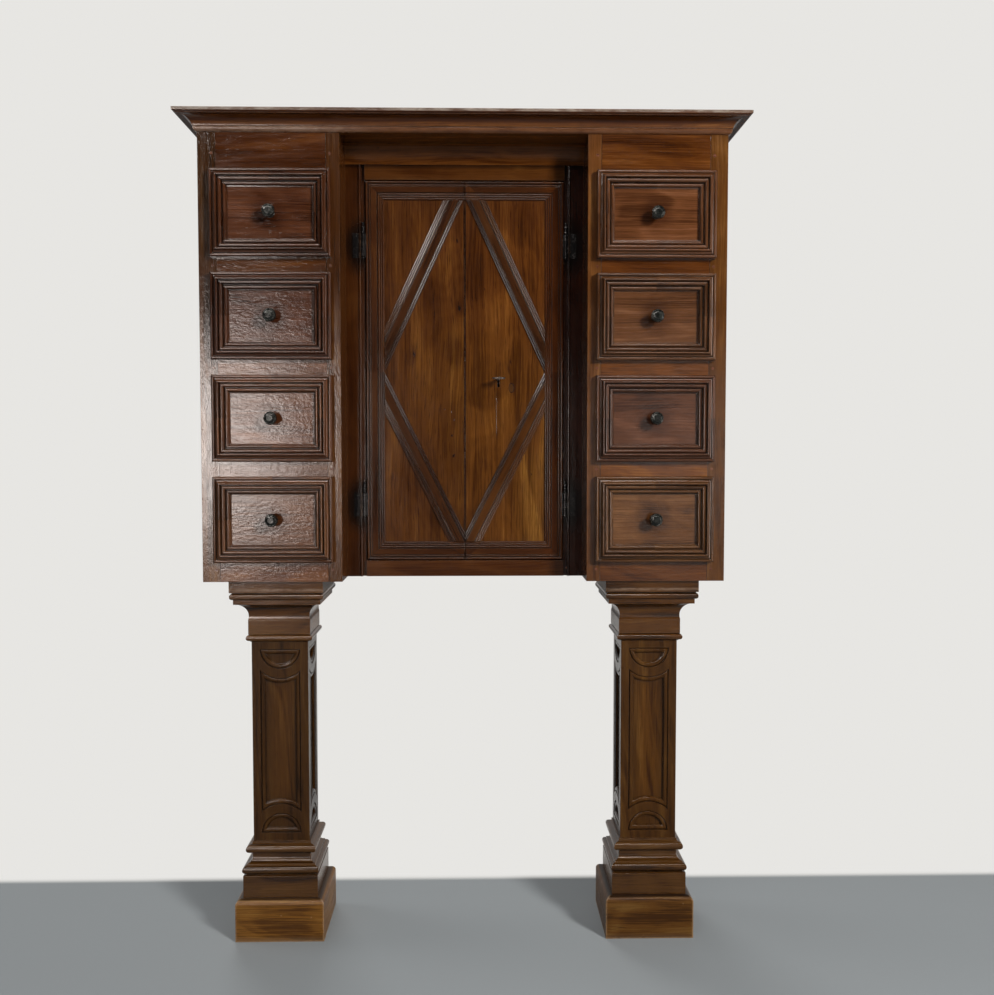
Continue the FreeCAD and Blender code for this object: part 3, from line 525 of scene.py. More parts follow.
def drawer_face(tree, x, y, z, side):
    # also gives where the plain panel is, the place on the drawer, and the row
    across = less(tree, size_of(tree, x), DRAWER_LINE)
    above = less(tree, z, LOWEST_DRAWER - DRAWER_PITCH / 2)
    row = calc(tree, "FLOOR", calc(tree, "DIVIDE", above, DRAWER_PITCH))
    rise = less(tree, z, total(tree, times(tree, row, DRAWER_PITCH), LOWEST_DRAWER))
    u = less(tree, size_of(tree, across), DRAWER_HALF_WIDTH)
    v = less(tree, size_of(tree, rise), DRAWER_HALF_HEIGHT)
    number = total(tree, row, times(tree, side, 11.0), 70.0)
    sideways = times(tree, calc(tree, "SIGN", across), 1.3)
    upwards = times(tree, calc(tree, "SIGN", rise), 2.1)
    corner = total(tree, sideways, upwards)
    line, board, (turn, *joint) = mitred(tree, u, v, x, y, z, total(tree, number, times(tree, corner, 7.0)))
    panel = times(tree, under(tree, u, -DRAWER_MOULDING), under(tree, v, -DRAWER_MOULDING))
    line = choose_line(tree, panel, line, triple(tree, z, y, x))
    # a metre is added on the panel, which has no mitre
    away = total(tree, turn, panel)
    return line, choose(tree, panel, board, number), (away, *joint), panel, across, rise, row


def four_sided(tree, x, y, z, side):
    across = less(tree, size_of(tree, x), DRAWER_LINE)
    turned = over(tree, size_of(tree, across), size_of(tree, y))
    line = choose_line(tree, turned, triple(tree, z, y, x), triple(tree, z, x, y))
    return line, total(tree, times(tree, side, 5.0), times(tree, turned, 2.0), 90.0), None


def cornice_run(tree, x, y, z, side):
    out = less(tree, size_of(tree, x), TOWER_OUT)
    turn = less(tree, out, less(tree, CASE_FRONT, y))
    turned = over(tree, turn, 0.0)
    line = choose_line(tree, turned, triple(tree, z, y, x), triple(tree, z, x, y))
    return line, times(tree, turned, less(tree, side, 4.0)), (turn, *MITRE_JOINT)


# What every material of the cabinet begins and ends with
def new_material(name):
    material = bpy.data.materials.new(name)
    material.use_nodes = True
    material.node_tree.nodes.clear()
    return material, material.node_tree


def finish(tree, colour, roughness, height, relief, softened, **plain):
    shader = put(tree, "ShaderNodeBsdfPrincipled")
    feed(tree, shader.inputs["Base Color"], colour)
    feed(tree, shader.inputs["Roughness"], roughness)
    for label, value in plain.items():
        shader.inputs[label.replace("_", " ")].default_value = value
    bump = put(tree, "ShaderNodeBump")
    bump.inputs["Strength"].default_value = 1.0
    bump.inputs["Distance"].default_value = relief
    feed(tree, bump.inputs["Height"], height)
    feed(tree, bump.inputs["Normal"], softened)
    feed(tree, shader.inputs["Normal"], bump.outputs[0])
    end = put(tree, "ShaderNodeOutputMaterial")
    tree.links.new(shader.outputs[0], end.inputs["Surface"])


# Waxed walnut: grain, old wax and painted shade in the grooves, rubbed edges, joints and flecks on one shader
def walnut(name, tones, lay, swirl=0.5, streaks=0.6, contrast=1.0, rough=(0.13, 0.26), edge=0.45,
           edge_colour=(0.15, 0.070, 0.030, 1), reach=0.003, groove=0.75, uneven=0.0007, patchy=0.6, dust=0.0,
           dashes=0.35, tooled=0.17, gloss=0.5, more=None):
    material, tree = new_material(name)
    dark, middle, light = tones
    place = put(tree, "ShaderNodeTexCoord").outputs["Object"]
    x, y, z = parts_of(tree, place)
    laid = lay(tree, x, y, z, calc(tree, "SIGN", x))
    line, board, joint = laid[:3]
    wood = use(tree, walnut_grain, Grain=line, Board=board, Dark=dark, Middle=middle, Light=light,
               Swirl=swirl, Streaks=streaks, Contrast=contrast, Dashes=dashes, Tooled=tooled)
    edges = use(tree, worn_edge, Place=place, Reach=reach, Patchy=patchy)
    wax = use(tree, groove_wax_and_shade, Place=place)
    colour, height, tone = wood["Colour"], wood["Height"], wood["Tone"]
    dull = 0.0
    if more:
        colour, height, dull = more(tree, colour, height, (x, y, z), place, laid)
    colour = shade(tree, times(tree, wax["Smear"], 0.16), colour, (0.62, 0.60, 0.66, 1))
    # the grooves are darkened by old wax and by painted shade, both from the ambient-occlusion mask
    colour = tint(tree, times(tree, wax["Groove"], groove), colour, OLD_WAX_AND_SHADE)
    if joint is not None:
        away, narrow, wide = joint
        seam = use(tree, joint_line, Away=away, Narrow=narrow, Wide=wide)["Line"]
        colour = tint(tree, times(tree, seam, 0.8), colour, JOINT_DIRT)
    colour = tint(tree, times(tree, edges["Edge"], edge), colour, edge_colour)
    if dust:
        dots = use(tree, flecks, Place=place, Size=0.0045, Share=dust)
        colour = tint(tree, times(tree, dots["Fleck"], 0.5), colour, edge_colour)
    dents = use(tree, flecks, Place=along(tree, place, 1.0, 1.0, 0.6), Size=0.006, Share=0.03)
    colour = tint(tree, times(tree, dents["Fleck"], 0.75), colour, dark)
    height = less(tree, height, times(tree, dents["Fleck"], 0.25))
    span = rough[1] - rough[0]
    roughness = total(tree, rough[0], times(tree, wood["Rubbed"], span * 0.65),
                      times(tree, tone, span * 0.35), times(tree, wax["Groove"], 0.20), dull)
    finish(tree, colour, roughness, height, uneven, edges["Softened"], Specular_IOR_Level=gloss)
    return material


# Marks that belong to single pieces
DOOR_SPOTS = [
    # knots and nail holes: x, z, radius, darkness
    (-0.1369, 1.5129, 0.0065, 0.85), (-0.0118, 1.6441, 0.0060, 0.85), (-0.0199, 1.8130, 0.0045, 0.9),
    (0.1220, 1.5040, 0.0045, 0.7), (-0.0363, 1.3037, 0.0032, 0.9), (-0.0285, 1.2562, 0.0030, 0.9),
    (-0.0547, 1.3747, 0.0020, 0.95), (-0.0284, 1.3485, 0.0020, 0.95), (-0.0400, 1.3620, 0.0018, 0.9),
    (0.0520, 1.6900, 0.0024, 0.8), (0.1750, 1.2050, 0.0026, 0.8), (-0.1300, 1.2300, 0.0022, 0.8)]
DOOR_CLOUDS = [
    # old stains and dark heartwood: x, z, half width, half height, darkness
    (-0.026, 1.530, 0.030, 0.050, 0.75), (-0.088, 1.672, 0.034, 0.060, 0.60),
    (-0.028, 1.366, 0.026, 0.045, 0.55), (-0.012, 1.235, 0.030, 0.110, 0.45),
    (-0.150, 1.160, 0.050, 0.070, 0.30), (0.022, 1.720, 0.030, 0.180, 0.55),
    (0.124, 1.470, 0.016, 0.060, 0.45), (-0.137, 1.515, 0.012, 0.030, 0.60),
    (-0.160, 1.840, 0.050, 0.080, 0.30), (0.150, 1.880, 0.080, 0.060, 0.55),
    (-0.012, 1.645, 0.018, 0.028, 0.60), (0.090, 1.370, 0.008, 0.090, 0.50),
    (-0.062, 1.100, 0.070, 0.040, 0.35), (0.012, 1.080, 0.020, 0.060, 0.50)]


def meeting(tree, colour, place):
    corner = use(tree, meeting_corner, Place=place)["Corner"]
    return tint(tree, corner, colour, (0.008, 0.003, 0.002, 1))


def door_marks(tree, colour, height, xyz, place, laid):
    x, y, z = xyz
    wander = times(tree, less(tree, cloud(tree, along(tree, place, 1.0, 0.0, 0.5), 34.0, 3.0), 0.5), 0.030)
    drift = triple(tree, total(tree, x, wander), 0.0, total(tree, z, times(tree, wander, 1.6)))
    stain = 0.0
    for spot_x, spot_z, wide, tall, darkness in DOOR_CLOUDS:
        middle = (spot_x / wide, 0.0, spot_z / tall)
        away = join(tree, along(tree, drift, 1.0 / wide, 0.0, 1.0 / tall), middle, "DISTANCE")
        stain = greater_of(tree, stain, ramp(tree, away, 0.25, 1.35, darkness, 0.0))
    colour = shade(tree, stain, colour, (0.42, 0.34, 0.30, 1))
    hole = 0.0
    for spot_x, spot_z, radius, darkness in DOOR_SPOTS:
        away = join(tree, along(tree, drift, 1.0, 0.0, 0.5), (spot_x, 0.0, spot_z * 0.5), "DISTANCE")
        hole = greater_of(tree, hole, ramp(tree, away, radius * 0.2, radius, darkness, 0.0))
    # let-in plug beside the keyhole and the fine split below it
    plug_middle = (PLUG_X, 0.0, PLUG_Z * PLUG_SQUEEZE)
    patch = join(tree, along(tree, triple(tree, x, 0.0, z), 1.0, 1.0, PLUG_SQUEEZE), plug_middle, "DISTANCE")
    colour = tint(tree, ramp(tree, patch, 0.0060, 0.0068, 0.7, 0.0), colour, (0.048, 0.018, 0.006, 1))
    rim = ramp(tree, size_of(tree, less(tree, patch, PLUG_RADIUS)), 0.0002, 0.0010, 0.85, 0.0)
    crooked = times(tree, less(tree, cloud(tree, along(tree, place, 0.0, 0.0, 1.0), 60.0, 2.0), 0.5), 0.006)
    crack = size_of(tree, less(tree, total(tree, x, crooked), SPLIT_X))
    length = times(tree, ramp(tree, z, *SPLIT_FOOT), ramp(tree, z, *SPLIT_TOP, 1.0, 0.0))
    split = times(tree, ramp(tree, crack, 0.0002, 0.0010, 0.9, 0.0), length)
    dark = greater_of(tree, greater_of(tree, hole, rim), split)
    colour = tint(tree, dark, colour, DIRT_AND_SHADE)
    # golden low down and in the middle of the lozenge, partly the wood's own tone and partly painted light
    # below the shade of the cornice; palest in the lower right corner
    low = ramp(tree, z, 1.70, 1.42, 0.0, 1.0)
    golden = times(tree, ramp(tree, size_of(tree, less(tree, x, 0.09)), 0.06, 0.24, 1.0, 0.35), low)
    colour = shade(tree, golden, colour, (1.15, 1.28, 1.20, 1))
    corner = times(tree, ramp(tree, x, 0.11, 0.18), ramp(tree, z, 1.33, 1.20))
    colour = shade(tree, corner, colour, (1.25, 1.45, 1.60, 1))
    return meeting(tree, colour, place), less(tree, height, times(tree, dark, 0.25)), 0.0


# Tone of each drawer, from the lowest upwards: first the left-hand tower, then the right-hand one
DRAWER_TONES = [(1.10, 1.12, 1.00, 1), (1.08, 1.02, 0.95, 1), (0.60, 0.52, 0.56, 1), (0.68, 0.61, 0.62, 1),
                (1.00, 1.16, 1.05, 1), (0.78, 0.80, 0.98, 1), (1.05, 1.20, 1.30, 1), (1.04, 1.10, 1.15, 1)]


def drawer_marks(tree, colour, height, xyz, place, laid):
    panel, across, rise, row = laid[3:]
    # plain panels are lighter than their mouldings, and no two drawers are quite alike
    colour = tint(tree, panel, multiply(tree, colour, (1.20, 1.08, 0.95, 1)),
                  multiply(tree, colour, (1.50, 1.32, 1.15, 1)))
    number = total(tree, row, times(tree, over(tree, xyz[0], 0.0), 4.0))
    for drawer_number, tone in enumerate(DRAWER_TONES):
        here = calc(tree, "COMPARE", number, float(drawer_number), 0.2)
        colour = shade(tree, here, colour, tone)
    # rubbed darker by hands round the knob
    away = join(tree, triple(tree, across, 0.0, rise), (0.0, 0.0, 0.0), "DISTANCE")
    colour = shade(tree, times(tree, ramp(tree, away, 0.014, 0.060, 0.75, 0.0), panel), colour, DULLED)
    polish = use(tree, high_polish, Place=place)["Dull"]
    return colour, times(tree, height, choose(tree, panel, 0.35, 1.0)), polish


def frame_marks(tree, colour, height, xyz, place, laid):
    # the left tower is darker, most of all at the top of its outer stile; the right-hand stiles are browner;
    # the right tower's middle rails and inner stile get a painted sheen
    x, y, z = xyz
    far = size_of(tree, x)
    left = under(tree, x, 0.0)
    right = less(tree, 1.0, left)
    top = times(tree, under(tree, x, -OPENING_OUT), ramp(tree, z, 1.60, 1.85))
    stile = less(tree, 1.0, times(tree, over(tree, far, OPENING_IN), under(tree, far, OPENING_OUT)))
    high = times(tree, ramp(tree, z, 1.30, 1.75), greater_of(tree, stile, ramp(tree, z, 1.80, 1.85)))
    # painted sheen: the right tower's middle rails are lighter
    middle_rails = times(tree, ramp(tree, z, 1.10, 1.20), ramp(tree, z, 1.68, 1.60), right,
                         less(tree, 1.0, stile))
    colour = shade(tree, middle_rails, colour, (1.45, 1.50, 1.20, 1))
    colour = shade(tree, times(tree, left, high), colour, (0.60, 0.54, 0.55, 1))
    colour = shade(tree, top, colour, (0.72, 0.80, 0.90, 1))
    # painted sheen: the right tower's inner stile is lighter and greyer
    inner = times(tree, over(tree, x, 0.0), under(tree, x, OPENING_IN))
    colour = shade(tree, inner, colour, (1.25, 1.25, 1.45, 1))
    colour = shade(tree, stile, colour, (0.92, 1.12, 1.40, 1))
    return colour, height, use(tree, high_polish, Place=place)["Dull"]


def cupboard_marks(tree, colour, height, xyz, place, laid):
    # golden header board with a painted shadow line under its moulding, dark grease and painted shadow round
    # the hinges, and painted shade on the stiles, darkest on the right-hand one
    x, y, z = xyz
    far = size_of(tree, x)
    header = times(tree, over(tree, z, HEADER_FOOT), under(tree, far, RECESS_STILE))
    colour = shade(tree, header, colour, (1.30, 1.35, 1.15, 1))
    # painted shadow: a dark line under the header moulding
    colour = tint(tree, ramp(tree, z, *HEADER_SHADOW_LINE, 0.0, 0.75), colour, (0.008, 0.003, 0.001, 1))
    # dark grease and painted shadow round the hinges
    for hinge in HINGE_HEIGHTS:
        hinge_middle = (HINGE_LINE, 0.0, hinge * HINGE_SQUEEZE)
        away = join(tree, triple(tree, far, 0.0, times(tree, z, HINGE_SQUEEZE)), hinge_middle, "DISTANCE")
        colour = tint(tree, ramp(tree, away, 0.020, 0.055, 0.92, 0.0), colour, DIRT_AND_SHADE)
    # painted shade on the left-hand stile, and a painted shadow on the right-hand stile where the right tower
    # keeps the light off
    colour = shade(tree, under(tree, x, -RECESS_STILE), colour, (0.66, 0.58, 0.50, 1))
    colour = shade(tree, over(tree, x, RECESS_STILE), colour, (0.42, 0.26, 0.22, 1))
    return colour, height, 0.0


def border_marks(tree, colour, height, xyz, place, laid):
    # painted light: the hinge side of the right-hand door is lightened to a warmer brown
    colour = shade(tree, ramp(tree, xyz[0], 0.195, 0.235), colour, (1.75, 1.50, 1.05, 1))
    return meeting(tree, colour, place), height, 0.0


def band_marks(tree, colour, height, xyz, place, laid):
    # the reeds along the inner edge of the bands are choked with old wax
    x, y, z = xyz
    off = size_of(tree, parts_of(tree, laid[0])[0])
    colour = shade(tree, times(tree, ramp(tree, off, 0.0105, 0.0125, 1.0, 0.0), 0.8), colour, DULLED)
    golden = times(tree, ramp(tree, x, 0.0, 0.05), ramp(tree, z, 1.46, 1.42))
    colour = shade(tree, golden, colour, (1.60, 1.65, 1.20, 1))
    return meeting(tree, colour, place), height, 0.0


def cornice_marks(tree, colour, height, xyz, place, laid):
    # dusty on top; painted light makes it lighter from the lower cove down and darker above; the top fillet
    # rubbed pale and given a painted sheen; a painted sheen along the left end of the lowest band
    x, y, z = xyz
    patch = cloud(tree, along(tree, place, 1.0, 1.0, 3.0), 16.0, 5.0, 0.7)
    up = use(tree, settled_dust, Place=place)["Up"]
    colour = tint(tree, times(tree, up, 0.55), colour, DUST)
    # painted light: lit and shaded copies of the wood, lighter from the lower cove down
    sunlit = times(tree, ramp(tree, z, *CORNICE_COVE), ramp(tree, patch, 0.30, 0.60, 0.35, 1.0))
    colour = tint(tree, sunlit, multiply(tree, colour, (0.80, 0.72, 0.60, 1)),
                  multiply(tree, colour, (1.40, 1.45, 1.20, 1)))
    # the top fillet rubbed pale, partly a painted sheen
    fillet = times(tree, ramp(tree, z, *CORNICE_FILLET), ramp(tree, patch, 0.36, 0.60, 0.25, 1.0),
                   less(tree, 1.0, up))
    colour = tint(tree, fillet, colour, (0.225, 0.180, 0.145, 1))
    # painted sheen along the left end of the lowest band
    left = ramp(tree, x, -0.20, -0.35, 0.15, 0.8)
    low = times(tree, ramp(tree, z, *CORNICE_LOWEST_BAND), ramp(tree, patch, 0.36, 0.60, 0.45, 1.0), left)
    colour = tint(tree, low, colour, (0.200, 0.120, 0.080, 1))
    dull = total(tree, times(tree, greater_of(tree, fillet, low), 0.10), times(tree, up, 0.35))
    return colour, height, dull


def capital_marks(tree, colour, height, xyz, place, laid):
    # painted highlight along the crest of the round under the abacus
    crest = ramp(tree, size_of(tree, less(tree, xyz[2], CAPITAL_CREST)), 0.0015, 0.0050, 1.0, 0.0)
    broken = ramp(tree, cloud(tree, along(tree, place, 1.0, 1.0, 3.0), 26.0, 4.0, 0.7), 0.35, 0.60, 0.25, 1.0)
    return tint(tree, times(tree, crest, broken, 0.60), colour, (0.230, 0.150, 0.100, 1)), height, 0.0


def shaft_marks(tree, colour, height, xyz, place, laid):
    # rubbed golden down the middle of the panels; painted shade, nearly black, on the inner sides
    x, y, z = xyz
    across = less(tree, size_of(tree, x), DRAWER_LINE)
    middle = times(tree, ramp(tree, size_of(tree, across), 0.010, 0.040, 1.0, 0.0), ramp(tree, z, 0.72, 0.60),
                   ramp(tree, z, 0.31, 0.40))
    colour = shade(tree, times(tree, middle, 0.5), colour, (1.8, 1.7, 1.4, 1))
    # painted shade on the inner sides
    inner = ramp(tree, times(tree, facing(tree, 0), calc(tree, "SIGN", x)), -0.3, -0.8)
    return tint(tree, times(tree, inner, 0.85), colour, (0.006, 0.0025, 0.001, 1)), height, 0.0


def plinth_marks(tree, colour, height, xyz, place, laid):
    # scuffed pale at the floor; a dark joint under the base, deepened with painted shade; the right-hand
    # plinth is darker
    x, y, z = xyz
    foot = times(tree, ramp(tree, z, 0.018, 0.001), cloud(tree, place, 40.0, 4.0, 0.7))
    colour = tint(tree, foot, colour, (0.17, 0.10, 0.05, 1))
    # dark joint under the base, deepened with painted shade
    colour = tint(tree, ramp(tree, z, *PLINTH_JOINT, 0.0, 0.85), colour, (0.010, 0.004, 0.002, 1))
    colour = shade(tree, times(tree, over(tree, x, 0.0), 0.85), colour, (0.5, 0.48, 0.55, 1))
    return colour, height, 0.0


def top_marks(tree, colour, height, xyz, place, laid):
    dust = use(tree, settled_dust, Place=place)["Dust"]
    return tint(tree, dust, colour, DUST), height, times(tree, dust, 0.5)


# Woods in linear colour: dark, middle and light of the grain
RED = ((0.034, 0.0085, 0.0012, 1), (0.088, 0.025, 0.0040, 1), (0.160, 0.054, 0.0100, 1))
PLUM = ((0.026, 0.0090, 0.0032, 1), (0.066, 0.0250, 0.0095, 1), (0.110, 0.0480, 0.0220, 1))
GOLD = ((0.036, 0.0095, 0.0012, 1), (0.083, 0.0245, 0.0040, 1), (0.155, 0.055, 0.0090, 1))
OLIVE = ((0.018, 0.0060, 0.0010, 1), (0.052, 0.0195, 0.0030, 1), (0.092, 0.0400, 0.0080, 1))
OCHRE = ((0.070, 0.0250, 0.0026, 1), (0.170, 0.0690, 0.0085, 1), (0.245, 0.1200, 0.0220, 1))
PLAIN = ((0.075, 0.042, 0.022, 1), (0.150, 0.088, 0.045, 1), (0.230, 0.150, 0.085, 1))
CORNICE = (RED[0], (0.066, 0.019, 0.0035, 1), (0.120, 0.042, 0.0090, 1))
HEADER = (RED[0], (0.088, 0.0280, 0.0050, 1), (0.150, 0.0540, 0.0100, 1))
CENTRE_FRAME = (RED[0], (0.062, 0.019, 0.004, 1), (0.110, 0.040, 0.009, 1))
BORDER = ((0.016, 0.0045, 0.0015, 1), (0.046, 0.0135, 0.0036, 1), (0.078, 0.0270, 0.0075, 1))
LOZENGE = ((0.016, 0.0048, 0.0015, 1), (0.048, 0.0150, 0.0040, 1), (0.084, 0.0300, 0.0080, 1))
CAPITAL = (OLIVE[0], (0.072, 0.0250, 0.0035, 1), (0.125, 0.0520, 0.0090, 1))
BASE = (OLIVE[0], (0.066, 0.0260, 0.0045, 1), (0.105, 0.0460, 0.0100, 1))
PEG = ((0.040, 0.011, 0.005, 1), (0.120, 0.038, 0.018, 1), (0.170, 0.068, 0.035, 1))
CASE = (RED[0], (0.070, 0.022, 0.005, 1), (0.125, 0.046, 0.010, 1))
TOP = (RED[0], (0.100, 0.031, 0.005, 1), (0.160, 0.058, 0.010, 1))

tower_wood = walnut("waxed_walnut_tower_frames", RED, framed, streaks=0.7, tooled=0.60, more=frame_marks)
drawer_wood = walnut("waxed_walnut_drawers", PLUM, drawer_face, swirl=0.35, streaks=0.9, dashes=0.30,
                     groove=0.7, edge=0.55, patchy=0.75, tooled=0.65, gloss=0.42, more=drawer_marks)
cornice_wood = walnut("waxed_walnut_cornice", CORNICE, cornice_run, edge=0.6,
                      edge_colour=(0.22, 0.15, 0.10, 1), patchy=0.5, gloss=0.35, more=cornice_marks)
header_wood = walnut("waxed_walnut_header", HEADER, full_width, edge=0.3, swirl=0.8, rough=(0.13, 0.20),
                     gloss=0.15)
centre_frame_wood = walnut("waxed_walnut_centre_frame", CENTRE_FRAME, cupboard_frame, swirl=0.8,
                           rough=(0.13, 0.22), gloss=0.3, more=cupboard_marks)
door_wood = walnut("waxed_walnut_door_boards", GOLD, upright, swirl=0.7, streaks=0.9, dashes=0.60,
                   uneven=0.0004, tooled=0.45, rough=(0.13, 0.20), gloss=0.35, more=door_marks)
border_wood = walnut("waxed_walnut_door_borders", BORDER, door_border, rough=(0.11, 0.18), gloss=0.30,
                     uneven=0.0003, tooled=0.08, more=border_marks)
lozenge_wood = walnut("waxed_walnut_lozenge", LOZENGE, lozenge, rough=(0.10, 0.18), uneven=0.0002,
                      tooled=0.08, more=band_marks)
shaft_wood = walnut("waxed_walnut_pillar_shafts", OLIVE, upright, gloss=0.18, more=shaft_marks)
capital_wood = walnut("waxed_walnut_capitals", CAPITAL, four_sided, edge=0.55, swirl=0.8, rough=(0.14, 0.22),
                      gloss=0.4, more=capital_marks)
base_wood = walnut("waxed_walnut_bases", BASE, four_sided, edge=0.6, rough=(0.14, 0.22), gloss=0.35)
plinth_wood = walnut("worn_walnut_plinths", OCHRE, four_sided, edge=0.95, reach=0.008,
                     edge_colour=(0.34, 0.22, 0.12, 1), patchy=0.4, rough=(0.30, 0.45), dust=0.10,
                     contrast=1.35, streaks=0.9, dashes=0.6, gloss=0.2, more=plinth_marks)
peg_wood = walnut("walnut_pegs", PEG, level_across, edge=0.2)
case_wood = walnut("waxed_walnut_case", CASE, upright, swirl=0.9, edge=0.5, tooled=0.10, gloss=0.3)
top_wood = walnut("dusty_walnut_top", TOP, full_width, gloss=0.2, more=top_marks)
inside_wood = walnut("plain_inside_wood", PLAIN, upright, rough=(0.55, 0.75), groove=0.6, edge=0.3,
                     uneven=0.0002)
box_wood = walnut("plain_drawer_wood", PLAIN, round_the_box, rough=(0.55, 0.75), groove=0.6, edge=0.3,
                  uneven=0.0002)


# Metals
def metal(name, base, rubbed, spots, rough, shine, hammered, patches_per_metre, edge=0.7):
    material, tree = new_material(name)
    place = put(tree, "ShaderNodeTexCoord").outputs["Object"]
    edges = use(tree, worn_edge, Place=place, Radius=0.0006, Reach=0.002, Patchy=0.35)
    wax = use(tree, groove_wax_and_shade, Place=place)
    patches = ramp(tree, cloud(tree, place, patches_per_metre, 4.0, 0.65), 0.42, 0.66)
    fine = cloud(tree, place, patches_per_metre * 6.0, 3.0, 0.6)
    colour = tint(tree, patches, base, spots)
    # hollows darkened by the groove mask: grime, and painted shade from ambient occlusion
    colour = tint(tree, times(tree, wax["Groove"], 0.8), colour, (0.006, 0.005, 0.004, 1))
    colour = tint(tree, times(tree, edges["Edge"], edge), colour, rubbed)
    roughness = total(tree, rough, times(tree, patches, 0.10), times(tree, fine, 0.06))
    height = total(tree, cloud(tree, place, patches_per_metre * 1.6, 2.0), times(tree, fine, 0.25))
    finish(tree, colour, roughness, height, hammered, edges["Softened"], Metallic=shine)
    return material


hinge_iron = metal("forged_iron_hinges", (0.0055, 0.0050, 0.0055, 1), (0.080, 0.080, 0.080, 1),
                   (0.008, 0.0055, 0.0045, 1), rough=0.16, shine=0.4, hammered=0.00015,
                   patches_per_metre=90.0, edge=0.4)
key_iron = metal("forged_iron_key", (0.060, 0.054, 0.048, 1), (0.42, 0.40, 0.37, 1), (0.060, 0.034, 0.022, 1),
                 rough=0.30, shine=0.85, hammered=0.0004, patches_per_metre=110.0)
knob_bronze = metal("dark_bronze_knobs", (0.0050, 0.0060, 0.0050, 1), (0.10, 0.085, 0.05, 1),
                    (0.010, 0.013, 0.011, 1), rough=0.20, shine=0.4, hammered=0.00007, patches_per_metre=90.0,
                    edge=0.3)

FINISHES = {
    "tower_front_frame": tower_wood, "tower_case": case_wood, "drawer_runners": inside_wood,
    "pillar_shaft": shaft_wood, "plinth": plinth_wood, "capital": capital_wood, "base_moulding": base_wood,
    "door_panel": door_wood, "door_border": border_wood, "door_lozenge": lozenge_wood,
    "centre_front_frame": centre_frame_wood, "header_moulding": header_wood, "centre_case": case_wood,
    "shelves": box_wood, "carcass_top": top_wood, "cornice_board": top_wood, "cornice": cornice_wood,
    "frame_pegs": peg_wood, "door_hinge_leaves": hinge_iron, "hinge_frame_leaves": hinge_iron,
    "hinge_nails": hinge_iron, "key": key_iron, "lock_case": hinge_iron, "lock_bolt": hinge_iron,
    "bolt_keeper": hinge_iron}
for row in range(1, 5):
    FINISHES["drawer_%d_front" % row] = drawer_wood
    FINISHES["drawer_%d_box" % row] = box_wood
    FINISHES["drawer_%d_knob" % row] = knob_bronze

for name, piece in frame["nodes"].items():
    plain = name.removeprefix("left_").removeprefix("right_")
    for slot in piece.material_slots:
        slot.material = FINISHES[plain]


# Floor: pale grey, running out into an off-white far ground
FLOOR_HALF = 30.0
FLOOR_GREY = (0.288, 0.309, 0.320, 1)
FLOOR_FAR = (0.78, 0.77, 0.75, 1)


def floor_paint():
    material, tree = new_material("pale_floor")
    x, y, z = parts_of(tree, put(tree, "ShaderNodeTexCoord").outputs["Object"])
    out = join(tree, triple(tree, x, y, 0.0), (0.0, 0.0, 0.0), "DISTANCE")
    far = greater_of(tree, ramp(tree, y, 0.255, 0.30), ramp(tree, out, 2.4, 5.0))
    shader = put(tree, "ShaderNodeBsdfPrincipled")
    feed(tree, shader.inputs["Base Color"], tint(tree, far, FLOOR_GREY, FLOOR_FAR))
    shader.inputs["Roughness"].default_value = 0.5
    shader.inputs["Specular IOR Level"].default_value = 0.05
    glow = put(tree, "ShaderNodeEmission")
    glow.inputs["Color"].default_value = OFF_WHITE
    blend = put(tree, "ShaderNodeMixShader")
    feed(tree, blend.inputs[0], times(tree, far, put(tree, "ShaderNodeLightPath").outputs["Is Camera Ray"]))
    tree.links.new(shader.outputs[0], blend.inputs[1])
    tree.links.new(glow.outputs[0], blend.inputs[2])
    end = put(tree, "ShaderNodeOutputMaterial")
    tree.links.new(blend.outputs[0], end.inputs["Surface"])
    return material


ground = bmesh.new()
bmesh.ops.create_grid(ground, x_segments=1, y_segments=1, size=FLOOR_HALF)
floor_mesh = bpy.data.meshes.new("floor")
ground.to_mesh(floor_mesh)
ground.free()
floor_mesh.materials.append(floor_paint())
floor = bpy.data.objects.new("floor", floor_mesh)
bpy.context.collection.objects.link(floor)


# Air round the cabinet: off-white ground for the eye and for gloss, plain fill for the rest
def background(tree, colour, strength=1.0):
    node = put(tree, "ShaderNodeBackground")
    feed(tree, node.inputs["Color"], colour)
    node.inputs["Strength"].default_value = strength
    return node.outputs[0]


def mixed_shaders(tree, amount, first, second):
    node = put(tree, "ShaderNodeMixShader")
    feed(tree, node.inputs[0], amount)
    tree.links.new(first, node.inputs[1])
    tree.links.new(second, node.inputs[2])
    return node.outputs[0]


world = bpy.data.worlds.new("studio")
bpy.context.scene.world = world
world.use_nodes = True
air = world.node_tree
air.nodes.clear()
path = put(air, "ShaderNodeLightPath").outputs
toward = parts_of(air, put(air, "ShaderNodeTexCoord").outputs["Generated"])
behind = ramp(air, toward[1], -0.15, 0.45)
mirrored = greater_of(air, path["Is Glossy Ray"], path["Is Transmission Ray"])
gloss_ground = background(air, tint(air, behind, (0.030, 0.028, 0.026, 1), (0.58, 0.57, 0.56, 1)))
unseen = mixed_shaders(air, mirrored, background(air, (0.97, 0.98, 1.0, 1), 0.06), gloss_ground)
seen = mixed_shaders(air, path["Is Camera Ray"], unseen, background(air, OFF_WHITE))
air.links.new(seen, put(air, "ShaderNodeOutputWorld").inputs["Surface"])


